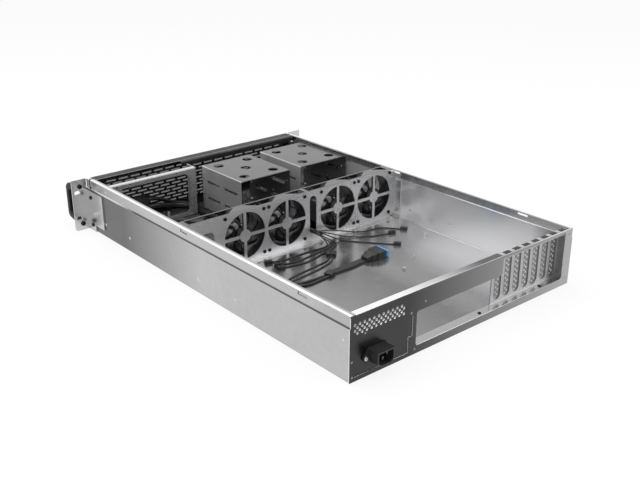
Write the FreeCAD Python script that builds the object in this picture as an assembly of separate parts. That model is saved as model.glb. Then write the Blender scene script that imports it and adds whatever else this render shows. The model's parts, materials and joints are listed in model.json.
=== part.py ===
import FreeCAD, Part
import math
import os

V = FreeCAD.Vector

# Empty two-unit rack server case with its lid off.
# Working frame: x = 0 on the centre line, y = 0 at the rear face of the rack ears
# and growing to the rear, z = 0 under the floor. The front faces -Y.

# Case envelope, in millimetres
DEPTH = 650.0            # rear face of the ears to the outer face of the rear panel
WIDTH = 430.0            # across the side walls
HEIGHT = 88.0            # two rack units
SHEET = 1.2              # every folded sheet
BEND = 0.8               # inside radius of a fold
GAP = 0.3                # clearance between neighbours that don't bear on each other

# Side walls
JOGGLE = 1.5             # upper part of a side wall stands in by this
JOGGLE_Z = HEIGHT - 16.0
RIM = 8.0                # rim turned in at the top of a side wall
LID_SLOT_LENGTH = 18.0   # slots for the lid's hooks
LID_SLOT_HEIGHT = 3.0
LID_SLOT_Z = HEIGHT - 6.0
LID_SLOT_YS = (297.0, 563.0)
NOTCH_Y = 9.0
NOTCH_WIDTH = 4.0

# Rear panel
REAR_LIP = 10.0          # top lip turned in
REAR_LIP_SLOTS = 8.0     # narrower over the slot covers
FOOT = 18.0              # flanges that fix panels to walls and floor
WINDOW_LEFT = 16.0 - WIDTH / 2
WINDOW_STEP = WINDOW_LEFT + 139.0
WINDOW_RIGHT = WINDOW_LEFT + 302.5
WINDOW_BOTTOM = 11.0
WINDOW_LOW_TOP = 59.0
WINDOW_HIGH_TOP = HEIGHT - 4.0
WINDOW_RADIUS = 4.0
VENT_PITCH = 7.6         # holes in a row; rows are half a pitch apart and staggered
VENT_HOLE = 4.4          # across the corners of a hole
VENT_COLUMNS = 11
VENT_ROWS = 4
VENT_RIGHT = WIDTH / 2 - 8.2
VENT_TOP = HEIGHT - 12.8

# Recessed slot panel
RECESS = 13.5
IO_WIDTH = 158.75        # standard board connector aperture
IO_HEIGHT = 44.45
SLOT_PITCH = 20.32
SLOT_COUNT = 7
SLOT_FIRST = WINDOW_LEFT + 130.4
SLOT_WIDTH = 14.0
SLOT_BOTTOM = 15.0
SLOT_TOP = HEIGHT - 10.5
LEDGE_Z = HEIGHT - 6.0           # top of the ledge that carries the covers' tabs
COVER_WIDTH = 18.4
COVER_THICK = 0.9
COVER_FIRST = 18.6
COVER_SCREW = 3.2
COVER_TAB = 9.0
COVER_HOLE = 4.6
COVER_ROWS = 15
COVER_SCREW_HEAD = 5.4
COVER_SCREW_Y = 4.6      # rear of the cover's inner face

# Power inlet
INLET_X = WIDTH / 2 - 44.8
INLET_Z = 26.0
INLET_WIDTH = 28.0
INLET_HEIGHT = 20.0
INLET_PROUD = 16.0       # shroud stands out of the panel
INLET_DEEP = 16.0
INLET_WALL = 2.0
INLET_FLANGE = 3.0
INLET_EAR_WIDTH = 50.0
INLET_SCREWS = 40.0
INLET_SCREW = 3.4
INLET_CHAMFER = 5.0
INLET_SCREW_HEAD = 6.0
INLET_SCREW_LENGTH = 9.0
PIN_INSET = 6.0          # a pin ends this far inside the shroud
PIN_WIDTH = 4.0
PIN_THICK = 2.0
PLATE_THICK = 1.0
PLATE_MARGIN = 4.3       # the plate laps this far behind the panel
CUT_OUT_LEFT = 60.2      # from the inlet's middle to the edges of the stepped cut-out
CUT_OUT_STEP_LEFT = 53.2
CUT_OUT_RIGHT = 36.8
CUT_OUT_UP = 30.5
CUT_OUT_STEP_UP = 1.3
CUT_OUT_DOWN = 20.5
CUT_OUT_FLOOR = 1.9      # smaller lap under the cut-out

# Fans and their wall
FAN_WALL_Y = 290.5       # rear face
FAN_SIZE = HEIGHT - 8.0
FAN_DEEP = 25.0
FAN_Z = FAN_SIZE / 2 + 6.0
FAN_PITCH = FAN_SIZE + 1.15
FAN_PAIRS = (276.05 - WIDTH / 2, 88.7 - WIDTH / 2)
FAN_BORE = FAN_SIZE - 3.6
FAN_OPENING = FAN_SIZE - 4.5
FAN_SCREWS = FAN_SIZE - 8.5  # the usual square of an 80 mm fan
FAN_SCREW_HOLE = 4.4
FAN_CORNER = 4.0
FAN_SHELL = 1.4
FAN_FLANGE = 4.0
FAN_SCREW_HEAD = 5.8
FAN_SCREW_LENGTH = 9.0
FAN_STRUT = 5.0
FAN_BADGE = 20.0         # disc where the pressed struts cross
MOTOR = 30.0
MOTOR_DEEP = 3.0
MOTOR_ARM = 4.0
BUSH_LENGTH = 12.0
BUSH_WALL = 2.0
ROTOR_GAP = 1.0
CUP_WALL = 1.5
BLADES = 7
BLADE_CHORD = 21.0
BLADE_THICK = 1.2
BLADE_PITCH_DEG = 38.0
BLADE_CAMBER = 1.6
BLADE_TIP = 2.2
BLADE_TURN = 12.0
SHAFT = 3.0
SHAFT_PLAY = 0.05
WALL_LIP = 21.0
WALL_FOOT = 12.0
LIP_STRIP = 2.5
TAB_REAR = 53.0
TAB_FRONT = 17.0
TAB_END = 7.0
CABLE_SLOT_X = 182.4 - WIDTH / 2
CABLE_SLOT_WIDTH = 14.0
CABLE_SLOT_BOTTOM = 15.0
CABLE_SLOT_TOP = HEIGHT - 9.0
SIDE_OPENING_LEFT = WIDTH / 2 - 57.5
SIDE_OPENING_RIGHT = WIDTH / 2 - 10.0
SIDE_OPENING_BOTTOM = 10.0
SIDE_OPENING_TOP = HEIGHT - 20.5
SIDE_OPENING_RADIUS = 8.0

# Drive cages
CAGE_XS = {"left": 185.0 - WIDTH / 2, "right": 58.2 - WIDTH / 2}
CAGE_WIDTH = 103.0
CAGE_FRONT = 54.0
CAGE_REAR = 170.5
CAGE_TOP = HEIGHT - 5.0
CAGE_FOOT = 10.0
CAGE_HOLE = 18.0
CAGE_HOLE_X = 30.5
CAGE_HOLE_Y = 37.7
CAGE_SHELF_ZS = (26.0, 55.5)
CAGE_SHELF_YS = ((70.0, 106.0), (121.0, 157.5))
CAGE_SHELF_SLOT = 4.0
CAGE_SHELF = 6.0
FLOOR_SCREW = 3.2
FLOOR_SCREW_HEAD = 5.4

# Supply bracket
BRACKET_Y = 63.0
BRACKET_LEFT = 256.0 - WIDTH / 2
BRACKET_OPEN_LEFT = BRACKET_LEFT + 12.0
BRACKET_OPEN_RIGHT = WIDTH / 2 - 25.0
BRACKET_OPEN_BOTTOM = 9.0
BRACKET_OPEN_TOP = HEIGHT - 9.5
BRACKET_CORNER = (9.0, 7.0)      # corners cut off the opening, across and up
BRACKET_NOTCH_ZS = (31.0, 59.5)
BRACKET_NOTCH = 5.0
BRACKET_LIP = 8.0
BRACKET_CHEEK = 25.5
BRACKET_FOOT = 14.0
BRACKET_FEET = (60.0, 120.0, 180.0)
BRACKET_HOLE = 4.0
BRACKET_HOLE_TOP = HEIGHT - 5.4
BRACKET_HOLES = ((191.9, BRACKET_HOLE_TOP), (53.7, BRACKET_HOLE_TOP), (53.7, 5.3), (191.9, 5.3))
BRACKET_SMALL_HOLE = 2.6
BRACKET_SMALL_XS = (78.6, 167.3)

# Front panel
FRONT_LIP = 19.0
FRONT_LIP_DEEP = 27.5
FRONT_LIP_DROP = 8.0
FRONT_LIP_STEP = 46.0
FRONT_FOOT = 15.0
BRICK_WIDTH = 18.2
BRICK_HEIGHT = 3.0
BRICK_PITCH_X = 23.0
BRICK_PITCH_Z = 6.1
BRICK_ROWS = 11
BRICK_BOTTOM = 12.8
BRICK_X = 77.1
BRICK_MARGIN = 6.0

# Control module behind the front panel
MODULE_LEFT = WIDTH / 2 - 104.0
MODULE_RIGHT = WIDTH / 2 - 30.0
MODULE_BOTTOM = 9.0
MODULE_TOP = 34.0
MODULE_DEEP = 20.0
MODULE_WALL = 1.5
BOARD_Y = 12.0
BOARD_THICK = 1.6
SWITCH = 3.6
BUTTON_TRAVEL = 1.5
BUTTON_REAR = 8.0
POWER_BUTTON = 11.0
RESET_BUTTON = 4.0
BUTTON_PLAY = 0.1
BUTTON_PROUD = 2.2
LENS = 3.0
USB_WIDTH = 13.2
USB_HEIGHT = 5.8
USB_SHELL = 0.5

# Rack ears and handles
EAR = 2.0
EAR_OUT = WIDTH / 2 + 26.3   # half of the nineteen-inch rack's 482.6
EAR_FLANGE = 55.0
EAR_FLANGE_LOW = 25.0
EAR_FLANGE_TOP = HEIGHT - 18.0
EAR_FLANGE_STEP = 12.0
RACK_SPACING_X = 2 * EAR_OUT - 17.5
RACK_SPACING_Z = 44.45
RACK_MID_Z = HEIGHT / 2 - 0.15
RACK_SLOT = 10.0
RACK_SLOT_HEIGHT = 6.5
HANDLE_X = EAR_OUT - 13.9
HANDLE_ZS = (11.1, HEIGHT - 11.9)
HANDLE_WIDTH = 10.0
HANDLE_REACH = 42.0
HANDLE_BAR = 10.0
HANDLE_LOW = 14.0
HANDLE_HIGH = HEIGHT - 15.0
HANDLE_EDGE = 1.6
HANDLE_ROUND = 10.0
HANDLE_TAP = 9.0
HANDLE_SCREW = 4.0
HANDLE_SCREW_HEAD = 8.0
EAR_SCREW_HEAD = 6.5
EAR_SCREW = 4.3
EAR_SCREW_Y = 15.5
EAR_SCREW_ZS = (10.9, HEIGHT - 29.3)

# Leads and their plugs
HEAD_SHARE = 0.32        # height of a screw's head by its width
LEAD_ARC = 0.45
LEAD_LIFT = 0.1          # a lead lies this far off the floor
LEAD = 2.0
THICK_LEAD = 3.4
LOOM = 7.0
SIDE_LOOM = 9.0
MAINS = 7.0
FLAT_WIDTH = 12.0
FLAT_HEIGHT = 3.0
SLEEVE_WIDTH = 13.0
SLEEVE_HEIGHT = 6.0
HEADER_LENGTH = 12.0
HEADER_WIDTH = 7.0
HEADER_HEIGHT = 5.0
USB_PLUG = (36.0, 25.0, 12.0)   # length, width and height
USB_WALL = 1.5
USB_INSERT_DEEP = 4.0
USB_COLLAR = 5.5         # the insert's collar stands out of the plug
USB_COLLAR_HEIGHT = 10.0
PLUG_WIDTH = 24.0
PLUG_HEIGHT = 17.0
PLUG_GRIP = 20.0
PLUG_NOSE = 14.0
PLUG_TAPER = 0.7
PLUG_CHAMFER = 4.0

# Worked-out places
WALL_OUT = WIDTH / 2
WALL_IN = WALL_OUT - SHEET
UPPER_OUT = WALL_OUT - JOGGLE
UPPER_IN = UPPER_OUT - SHEET
RIM_IN = UPPER_OUT - RIM
LIP_END = RIM_IN - GAP
TOP_IN = HEIGHT - SHEET
TUB_REAR = DEPTH - SHEET
RECESS_Y = DEPTH - RECESS
FAN_REAR = FAN_WALL_Y - SHEET
FAN_FRONT = FAN_REAR - FAN_DEEP
FAN_XS = [pair + side * FAN_PITCH / 2 for pair in FAN_PAIRS for side in (1, -1)]
SLOT_XS = [SLOT_FIRST - SLOT_PITCH * number for number in range(SLOT_COUNT)]
HANDLE_FRONT = -EAR - HANDLE_REACH
INLET_REAR = DEPTH + INLET_PROUD
ORIGIN_Y = (HANDLE_FRONT + INLET_REAR) / 2

PLACE = {
    "x": FreeCAD.Rotation(V(1, 1, 1), 120),
    "y": FreeCAD.Rotation(V(1, 0, 0), 90),
    "z": FreeCAD.Rotation(),
}


def corner(before, point, after, radius):
    """The ends and the middle of the arc that rounds one corner of a flat line."""
    to_before = (before - point).normalize()
    to_after = (after - point).normalize()
    half = to_before.getAngle(to_after) / 2
    reach = radius / math.tan(half)
    inward = (to_before + to_after).normalize()
    middle = point + inward * (radius / math.sin(half) - radius)
    return point + to_before * reach, middle, point + to_after * reach


def polygon(points, radii=0.0):
    """Closed flat loop through 2-D points, each corner rounded by its own radius."""
    count = len(points)
    if not isinstance(radii, (list, tuple)):
        radii = [radii] * count
    spots = [V(u, v, 0) for u, v in points]
    ends = []
    for index, spot in enumerate(spots):
        if radii[index] > 0:
            around = spots[index - 1], spot, spots[(index + 1) % count]
            ends.append(corner(*around, radii[index]))
        else:
            ends.append((spot, None, spot))
    edges = []
    for index, (start, middle, finish) in enumerate(ends):
        if middle is not None:
            edges.append(Part.Arc(start, middle, finish).toShape())
        following = ends[(index + 1) % count][0]
        if finish.distanceToPoint(following) > 1e-6:
            edges.append(Part.LineSegment(finish, following).toShape())
    return Part.Wire(edges)


def rectangle(low_u, high_u, low_v, high_v, radius=0.0):
    return polygon([(low_u, low_v), (high_u, low_v), (high_u, high_v), (low_u, high_v)], radius)


def disc(u, v, diameter):
    return Part.Wire([Part.makeCircle(diameter / 2, V(u, v, 0))])


def obround(u, v, length, height):
    """Slot with round ends, centred on (u, v), along the longer of its two sizes."""
    radius = min(length, height) / 2 - 1e-4
    return rectangle(u - length / 2, u + length / 2, v - height / 2, v + height / 2, radius)


def regular(u, v, across, sides, turn):
    """Loop of a regular polygon by its size across the corners."""
    steps = [turn + 2 * math.pi * side / sides for side in range(sides)]
    return polygon([(u + across / 2 * math.cos(a), v + across / 2 * math.sin(a)) for a in steps])


def plate(axis, low, high, outer, holes=()):
    """Flat plate square to an axis between two levels, from an outline and its holes.

    The outline's two directions are the other axes in order: (y, z), (x, z) or (x, y).
    """
    face = Part.makeFace([outer] + list(holes), "Part::FaceMakerBullseye")
    solid = face.extrude(V(0, 0, high - low))
    level = {"x": V(low, 0, 0), "y": V(0, high, 0), "z": V(0, 0, low)}[axis]
    solid.Placement = FreeCAD.Placement(level, PLACE[axis])
    return solid


def block(low_x, high_x, low_y, high_y, low_z, high_z):
    return Part.makeBox(high_x - low_x, high_y - low_y, high_z - low_z, V(low_x, low_y, low_z))


def rod(axis, start, end, u, v, diameter):
    return plate(axis, start, end, disc(u, v, diameter))


def folded(line, thickness=SHEET):
    """Section of a folded sheet: the line of one face, thickened to its left, or to its
    right where the thickness is negative, with every bend rounded."""
    left = []
    for first, second in zip(line, line[1:]):
        length = math.hypot(second[0] - first[0], second[1] - first[1])
        left.append((-(second[1] - first[1]) / length, (second[0] - first[0]) / length))
    shifted = [(line[0][0] + left[0][0] * thickness, line[0][1] + left[0][1] * thickness)]
    radii = [0.0]
    back_radii = [0.0]
    for index in range(1, len(line) - 1):
        before, after = left[index - 1], left[index]
        spread = thickness / (1 + before[0] * after[0] + before[1] * after[1])
        shifted.append((line[index][0] + (before[0] + after[0]) * spread,
                        line[index][1] + (before[1] + after[1]) * spread))
        turn = before[0] * after[1] - before[1] * after[0]
        outer, inner = BEND + abs(thickness), BEND
        radii.append(outer if turn * thickness > 0 else inner)
        back_radii.append(inner if turn * thickness > 0 else outer)
    shifted.append((line[-1][0] + left[-1][0] * thickness, line[-1][1] + left[-1][1] * thickness))
    radii.append(0.0)
    back_radii.append(0.0)
    return polygon(list(line) + shifted[::-1], radii + back_radii[::-1])


def join(first, *others):
    return first.fuse(list(others)).removeSplitter()


def mirrored(shape):
    return shape.mirror(V(0, 0, 0), V(1, 0, 0))


def save(name, shape):
    """Move a piece to the row's origin and write it."""
    moved = shape.copy()
    moved.translate(V(0, -ORIGIN_Y, 0))
    moved.exportStep("parts/" + name + ".step")
    print(name, len(moved.Solids), round(moved.Volume / 1000, 2), moved.isValid())


def chassis_tub():
    """Floor and side walls from one sheet, with a joggle and a rim along each wall."""
    right = [(RIM_IN, HEIGHT), (UPPER_OUT, HEIGHT), (UPPER_OUT, JOGGLE_Z + JOGGLE),
             (WALL_OUT, JOGGLE_Z), (WALL_OUT, 0)]
    section = [(-u, v) for u, v in right] + [(u, v) for u, v in right[::-1]]
    tub = plate("y", 0, TUB_REAR, folded(section))
    cuts = []
    for middle in LID_SLOT_YS:
        ends = middle - LID_SLOT_LENGTH / 2, middle + LID_SLOT_LENGTH / 2
        heights = LID_SLOT_Z - LID_SLOT_HEIGHT / 2, LID_SLOT_Z + LID_SLOT_HEIGHT / 2
        cuts.append(plate("x", -WALL_OUT, WALL_OUT, rectangle(*ends, *heights)))
        mouth = ends[0], ends[0] + LID_SLOT_HEIGHT, heights[0], HEIGHT - SHEET - BEND
        cuts.append(plate("x", -WALL_OUT, WALL_OUT, rectangle(*mouth)))
    notch = NOTCH_Y - NOTCH_WIDTH / 2, NOTCH_Y + NOTCH_WIDTH / 2
    cuts.append(block(-WALL_OUT, WALL_OUT, *notch, JOGGLE_Z, HEIGHT))
    foot = notch[0], notch[1] + NOTCH_WIDTH, JOGGLE_Z, JOGGLE_Z + NOTCH_WIDTH
    cuts.append(block(-WALL_OUT, WALL_OUT, *foot))
    return tub.cut(cuts).removeSplitter()


def rear_panel():
    """Rear sheet with its vent, its stepped window, and feet on the floor and walls."""
    section = [(TUB_REAR - FOOT, SHEET), (DEPTH, SHEET), (DEPTH, HEIGHT), (DEPTH - REAR_LIP, HEIGHT)]
    panel = plate("x", -LIP_END, LIP_END, folded(section))
    sides = [plate("y", TUB_REAR, DEPTH, rectangle(-WALL_OUT, WALL_OUT, 0, JOGGLE_Z)),
             plate("y", TUB_REAR, DEPTH, rectangle(-UPPER_OUT, UPPER_OUT, JOGGLE_Z, TOP_IN))]
    for side in (-1, 1):
        edges = sorted((side * WALL_IN, side * (WALL_IN - SHEET)))
        sides.append(block(*edges, TUB_REAR - FOOT, TUB_REAR, SHEET * 3, JOGGLE_Z - 2 * JOGGLE))
    panel = join(panel, *sides)
    window = [(WINDOW_LEFT, WINDOW_BOTTOM), (WINDOW_RIGHT, WINDOW_BOTTOM),
              (WINDOW_RIGHT, WINDOW_LOW_TOP), (WINDOW_STEP, WINDOW_LOW_TOP),
              (WINDOW_STEP, WINDOW_HIGH_TOP), (WINDOW_LEFT, WINDOW_HIGH_TOP)]
    cuts = [plate("y", TUB_REAR - 1, DEPTH + 1, polygon(window, WINDOW_RADIUS))]
    cuts.append(block(-LIP_END, WINDOW_STEP, DEPTH - REAR_LIP - 1, DEPTH - REAR_LIP_SLOTS,
                      TOP_IN - 1, HEIGHT + 1))
    for row in range(VENT_ROWS):
        for column in range(VENT_COLUMNS):
            shift = VENT_PITCH / 2 * (row % 2) + VENT_PITCH * column
            across = VENT_RIGHT - shift, VENT_TOP - VENT_PITCH / 2 * row
            hole = regular(*across, VENT_HOLE, 6, math.pi / 6)
            cuts.append(plate("y", TUB_REAR - 1, DEPTH + 1, hole))
    cuts.append(plate("y", TUB_REAR - 1, DEPTH + 1, stepped_outline(0, 0)))
    return panel.cut(cuts).removeSplitter()


def slot_panel():
    """Pan set into the window: it holds the board aperture and the slots."""
    low, high, step = WINDOW_LEFT - SHEET, WINDOW_RIGHT + SHEET, WINDOW_STEP + SHEET
    floor = WINDOW_BOTTOM - SHEET
    back = RECESS_Y - SHEET

    def pan(start, end, top):
        section = [(TUB_REAR, floor), (back, floor), (back, top), (TUB_REAR, top)]
        return plate("x", start, end, folded(section, -SHEET))

    low_top = WINDOW_LOW_TOP + SHEET
    walls = [pan(step - SHEET, high, low_top),
             block(low, WINDOW_LEFT, RECESS_Y - BEND, TUB_REAR, WINDOW_BOTTOM - BEND, LEDGE_Z - SHEET / 2),
             block(WINDOW_RIGHT, high, RECESS_Y - BEND, TUB_REAR, WINDOW_BOTTOM - BEND, low_top - SHEET / 2),
             block(step - SHEET, step, RECESS_Y - BEND, TUB_REAR, low_top - SHEET / 2, LEDGE_Z - SHEET / 2)]
    panel = join(pan(low, step, LEDGE_Z), *walls)
    cuts = [block(WINDOW_RIGHT - IO_WIDTH, WINDOW_RIGHT, back - 1, RECESS_Y + 1,
                  WINDOW_BOTTOM, WINDOW_BOTTOM + IO_HEIGHT)]
    for x in SLOT_XS:
        slot = obround(x, (SLOT_BOTTOM + SLOT_TOP) / 2, SLOT_WIDTH, SLOT_TOP - SLOT_BOTTOM)
        cuts.append(plate("y", back - 1, RECESS_Y + 1, slot))
        cuts.append(rod("z", LEDGE_Z - SHEET - 1, LEDGE_Z + 1, x, back + COVER_SCREW_Y, COVER_SCREW))
    return panel.cut(cuts).removeSplitter()


def slot_cover(x):
    """Perforated blank behind one slot, with a tab screwed down on the ledge."""
    inner = RECESS_Y - SHEET - COVER_THICK
    low, high = x - COVER_WIDTH / 2, x + COVER_WIDTH / 2
    section = [(inner + COVER_TAB, LEDGE_Z + COVER_THICK), (inner, LEDGE_Z + COVER_THICK),
               (inner, WINDOW_BOTTOM)]
    cover = plate("x", low, high, folded(section, COVER_THICK))
    cuts = []
    for row in range(COVER_ROWS):
        side = -1 if row % 2 else 1
        spot = x + side * VENT_PITCH / 4, COVER_FIRST + VENT_PITCH / 2 * row
        hole = regular(*spot, COVER_HOLE, 4, 0)
        cuts.append(plate("y", inner - 1, inner + COVER_THICK + 1, hole))
    cuts.append(rod("z", LEDGE_Z - 1, LEDGE_Z + 2, x, RECESS_Y - SHEET + COVER_SCREW_Y, COVER_SCREW))
    return cover.cut(cuts).removeSplitter()


def pan_screw(axis, face, inward, u, v, head, shank, length):
    """Screw with a low round head on a face; inward is the way its shank points, 1 or -1."""
    tall = head * HEAD_SHARE
    cap = rod(axis, *sorted((face, face - inward * tall)), u, v, head)
    stem = rod(axis, *sorted((face - inward * tall / 2, face + inward * length)), u, v, shank)
    return join(cap, stem)


def slot_cover_screws():
    top = LEDGE_Z + COVER_THICK
    y = RECESS_Y - SHEET + COVER_SCREW_Y
    return Part.makeCompound([pan_screw("z", top, -1, x, y, COVER_SCREW_HEAD, COVER_SCREW - GAP, 4)
                              for x in SLOT_XS])


def stepped_outline(margin, floor_margin):
    """Loop of the stepped cut-out round the inlet, grown by a margin."""
    low, high = INLET_X - CUT_OUT_LEFT - margin, INLET_X + CUT_OUT_RIGHT + margin
    inner = INLET_X - CUT_OUT_STEP_LEFT - margin
    bottom, top = INLET_Z - CUT_OUT_DOWN - floor_margin, INLET_Z + CUT_OUT_UP + margin
    step = INLET_Z + CUT_OUT_STEP_UP - margin
    return polygon([(low, top), (low, step), (inner, step), (inner, bottom), (high, bottom),
                    (high, top)], BEND)


def inlet_plate():
    """Plate behind the rear panel's stepped cut-out, which carries the power inlet."""
    hole = rectangle(INLET_X - INLET_WIDTH / 2 - GAP, INLET_X + INLET_WIDTH / 2 + GAP,
                     INLET_Z - INLET_HEIGHT / 2 - GAP, INLET_Z + INLET_HEIGHT / 2 + GAP)
    holes = [hole] + [disc(INLET_X + side * INLET_SCREWS / 2, INLET_Z, INLET_SCREW) for side in (-1, 1)]
    return plate("y", TUB_REAR - PLATE_THICK, TUB_REAR, stepped_outline(PLATE_MARGIN, CUT_OUT_FLOOR),
                 holes)


def power_inlet():
    """Appliance inlet: a deep shroud open to the rear, with a screwed flange."""
    face = TUB_REAR
    half, tall = INLET_WIDTH / 2, INLET_HEIGHT / 2

    def shroud(inset):
        low, high = INLET_X - half + inset, INLET_X + half - inset
        bottom, top = INLET_Z - tall + inset, INLET_Z + tall - inset
        chamfer = INLET_CHAMFER - inset / 2
        return polygon([(low, top), (low, bottom + chamfer), (low + chamfer, bottom),
                        (high - chamfer, bottom), (high, bottom + chamfer), (high, top)])

    ear = INLET_EAR_WIDTH / 2
    flange = polygon([(INLET_X - ear, INLET_Z), (INLET_X - half - 1, INLET_Z - tall - 1),
                      (INLET_X + half + 1, INLET_Z - tall - 1), (INLET_X + ear, INLET_Z),
                      (INLET_X + half + 1, INLET_Z + tall + 1), (INLET_X - half - 1, INLET_Z + tall + 1)],
                     [5.0, 2.0, 2.0, 5.0, 2.0, 2.0])
    body = join(plate("y", face, face + INLET_FLANGE, flange),
                plate("y", DEPTH - INLET_DEEP, INLET_REAR, shroud(0)))
    cuts = [plate("y", DEPTH, INLET_REAR + 1, shroud(INLET_WALL))]
    cuts += [rod("y", face - 1, face + INLET_FLANGE + 1, INLET_X + side * INLET_SCREWS / 2, INLET_Z,
                 INLET_SCREW) for side in (-1, 1)]
    return body.cut(cuts).removeSplitter()


def power_inlet_pins():
    pins = []
    for u, v in ((-7.0, 2.0), (7.0, 2.0), (0.0, -3.0)):
        x, z = INLET_X + u, INLET_Z + v
        pins.append(block(x - PIN_THICK / 2, x + PIN_THICK / 2, DEPTH, INLET_REAR - PIN_INSET,
                          z - PIN_WIDTH / 2, z + PIN_WIDTH / 2))
    return Part.makeCompound(pins)


def panel_screws():
    face = TUB_REAR + INLET_FLANGE
    return Part.makeCompound([pan_screw("y", face, -1, INLET_X + side * INLET_SCREWS / 2, INLET_Z,
                                        INLET_SCREW_HEAD, INLET_SCREW - GAP, INLET_SCREW_LENGTH)
                              for side in (-1, 1)])


def fan_wall():
    """Wall across the case with four fan openings, a cable slot and a cable opening."""
    section = [(FAN_WALL_Y - WALL_LIP, HEIGHT), (FAN_WALL_Y, HEIGHT), (FAN_WALL_Y, 2 * SHEET),
               (FAN_WALL_Y + WALL_FOOT, 2 * SHEET)]
    wall = plate("x", -LIP_END, LIP_END, folded(section, -SHEET))
    sides = [plate("y", FAN_REAR, FAN_WALL_Y,
                   rectangle(-WALL_IN, WALL_IN, SHEET + BEND, JOGGLE_Z - 2 * JOGGLE)),
             plate("y", FAN_REAR, FAN_WALL_Y,
                   rectangle(-UPPER_IN, UPPER_IN, JOGGLE_Z - 3 * JOGGLE, TOP_IN - BEND))]
    for side in (-1, 1):
        edges = sorted((side * WALL_IN, side * (WALL_IN - SHEET)))
        sides.append(block(*edges, FAN_REAR, FAN_WALL_Y + FOOT, SHEET * 3, JOGGLE_Z - 2 * JOGGLE))
    wall = join(wall, *sides)
    cuts = []
    for x in FAN_XS:
        around = plate("y", FAN_REAR - 1, FAN_WALL_Y + 1, disc(x, FAN_Z, FAN_OPENING))
        reach = FAN_OPENING / 2 + 1
        cross = [block(x - reach, x + reach, FAN_REAR - 1, FAN_WALL_Y + 1,
                       FAN_Z - FAN_STRUT / 2, FAN_Z + FAN_STRUT / 2),
                 block(x - FAN_STRUT / 2, x + FAN_STRUT / 2, FAN_REAR - 1, FAN_WALL_Y + 1,
                       FAN_Z - reach, FAN_Z + reach),
                 rod("y", FAN_REAR - 1, FAN_WALL_Y + 1, x, FAN_Z, FAN_BADGE)]
        cuts.append(around.cut(cross))
        cuts += [rod("y", FAN_REAR - 1, FAN_WALL_Y + 1, x + u, FAN_Z + v, FAN_SCREW_HOLE)
                 for u, v in fan_corners()]
    slot = obround(CABLE_SLOT_X, (CABLE_SLOT_BOTTOM + CABLE_SLOT_TOP) / 2, CABLE_SLOT_WIDTH,
                   CABLE_SLOT_TOP - CABLE_SLOT_BOTTOM)
    opening = rectangle(SIDE_OPENING_LEFT, SIDE_OPENING_RIGHT, SIDE_OPENING_BOTTOM,
                        SIDE_OPENING_TOP, SIDE_OPENING_RADIUS)
    cuts += [plate("y", FAN_REAR - 1, FAN_WALL_Y + 1, loop) for loop in (slot, opening)]
    return wall.cut(cuts + lip_windows()).removeSplitter()


def lip_windows():
    """Trapezoid windows of the fan wall's lip, between its ends, tabs and solid piece."""
    front, rear = FAN_WALL_Y - WALL_LIP + LIP_STRIP, FAN_REAR - BEND - SHEET
    solid = CABLE_SLOT_X + CABLE_SLOT_WIDTH / 2
    left = [(-LIP_END, -LIP_END), (solid, solid)] + [(x - TAB_REAR / 2, x - TAB_FRONT / 2) for x in FAN_XS]
    right = [(LIP_END - TAB_END, LIP_END - TAB_END), (solid + TAB_END, solid + TAB_END),
             (TAB_END - LIP_END, TAB_END - LIP_END)]
    right += [(x + TAB_REAR / 2, x + TAB_FRONT / 2) for x in FAN_XS]
    starts = sorted(spot for spot in right if spot[0] < LIP_END - 2 * TAB_END)
    ends = sorted([spot for spot in left if spot[0] > -LIP_END] + [(LIP_END - TAB_END, LIP_END - TAB_END)])
    windows = []
    for (rear_low, front_low), (rear_high, front_high) in zip(starts, ends):
        outline = [(front_low, front), (front_high, front), (rear_high, rear), (rear_low, rear)]
        windows.append(plate("z", TOP_IN - 1, HEIGHT + 1, polygon(outline)))
    return windows


def fan_corners():
    half = FAN_SCREWS / 2
    return [(u, v) for u in (-half, half) for v in (-half, half)]


def fan_frame(x):
    """Fan housing: square flanges, a cut-away waist, a round bore and the motor's seat."""
    half = FAN_SIZE / 2
    outline = rectangle(x - half, x + half, FAN_Z - half, FAN_Z + half, FAN_CORNER)
    holes = [disc(x, FAN_Z, FAN_BORE)]
    holes += [disc(x + u, FAN_Z + v, FAN_SCREW_HOLE) for u, v in fan_corners()]
    frame = plate("y", FAN_FRONT, FAN_REAR, outline, holes)
    pockets = []
    reach = FAN_BORE / 2 + FAN_SHELL
    for u in (-1, 1):
        for v in (-1, 1):
            start = reach * math.sqrt(2) - half
            tri = [(x + u * start, FAN_Z + v * (half + 1)), (x + u * (half + 1), FAN_Z + v * start),
                   (x + u * (half + 1), FAN_Z + v * (half + 1))]
            pockets.append(plate("y", FAN_FRONT + FAN_FLANGE, FAN_REAR - FAN_FLANGE, polygon(tri)))
    frame = frame.cut(pockets)
    seat_front = FAN_REAR - MOTOR_DEEP
    seat = rod("y", seat_front, FAN_REAR, x, FAN_Z, MOTOR)
    bush = rod("y", seat_front - BUSH_LENGTH, seat_front, x, FAN_Z, SHAFT + 2 * BUSH_WALL)
    reach = FAN_BORE / 2 + FAN_SHELL / 2
    arms = [block(x - reach, x + reach, seat_front, FAN_REAR, FAN_Z - MOTOR_ARM / 2,
                  FAN_Z + MOTOR_ARM / 2),
            block(x - MOTOR_ARM / 2, x + MOTOR_ARM / 2, seat_front, FAN_REAR, FAN_Z - reach,
                  FAN_Z + reach)]
    frame = join(frame, seat, bush, *arms)
    bore = rod("y", seat_front - BUSH_LENGTH - 1, FAN_REAR - 1, x, FAN_Z, SHAFT + 2 * SHAFT_PLAY)
    return frame.cut(bore).removeSplitter()


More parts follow.
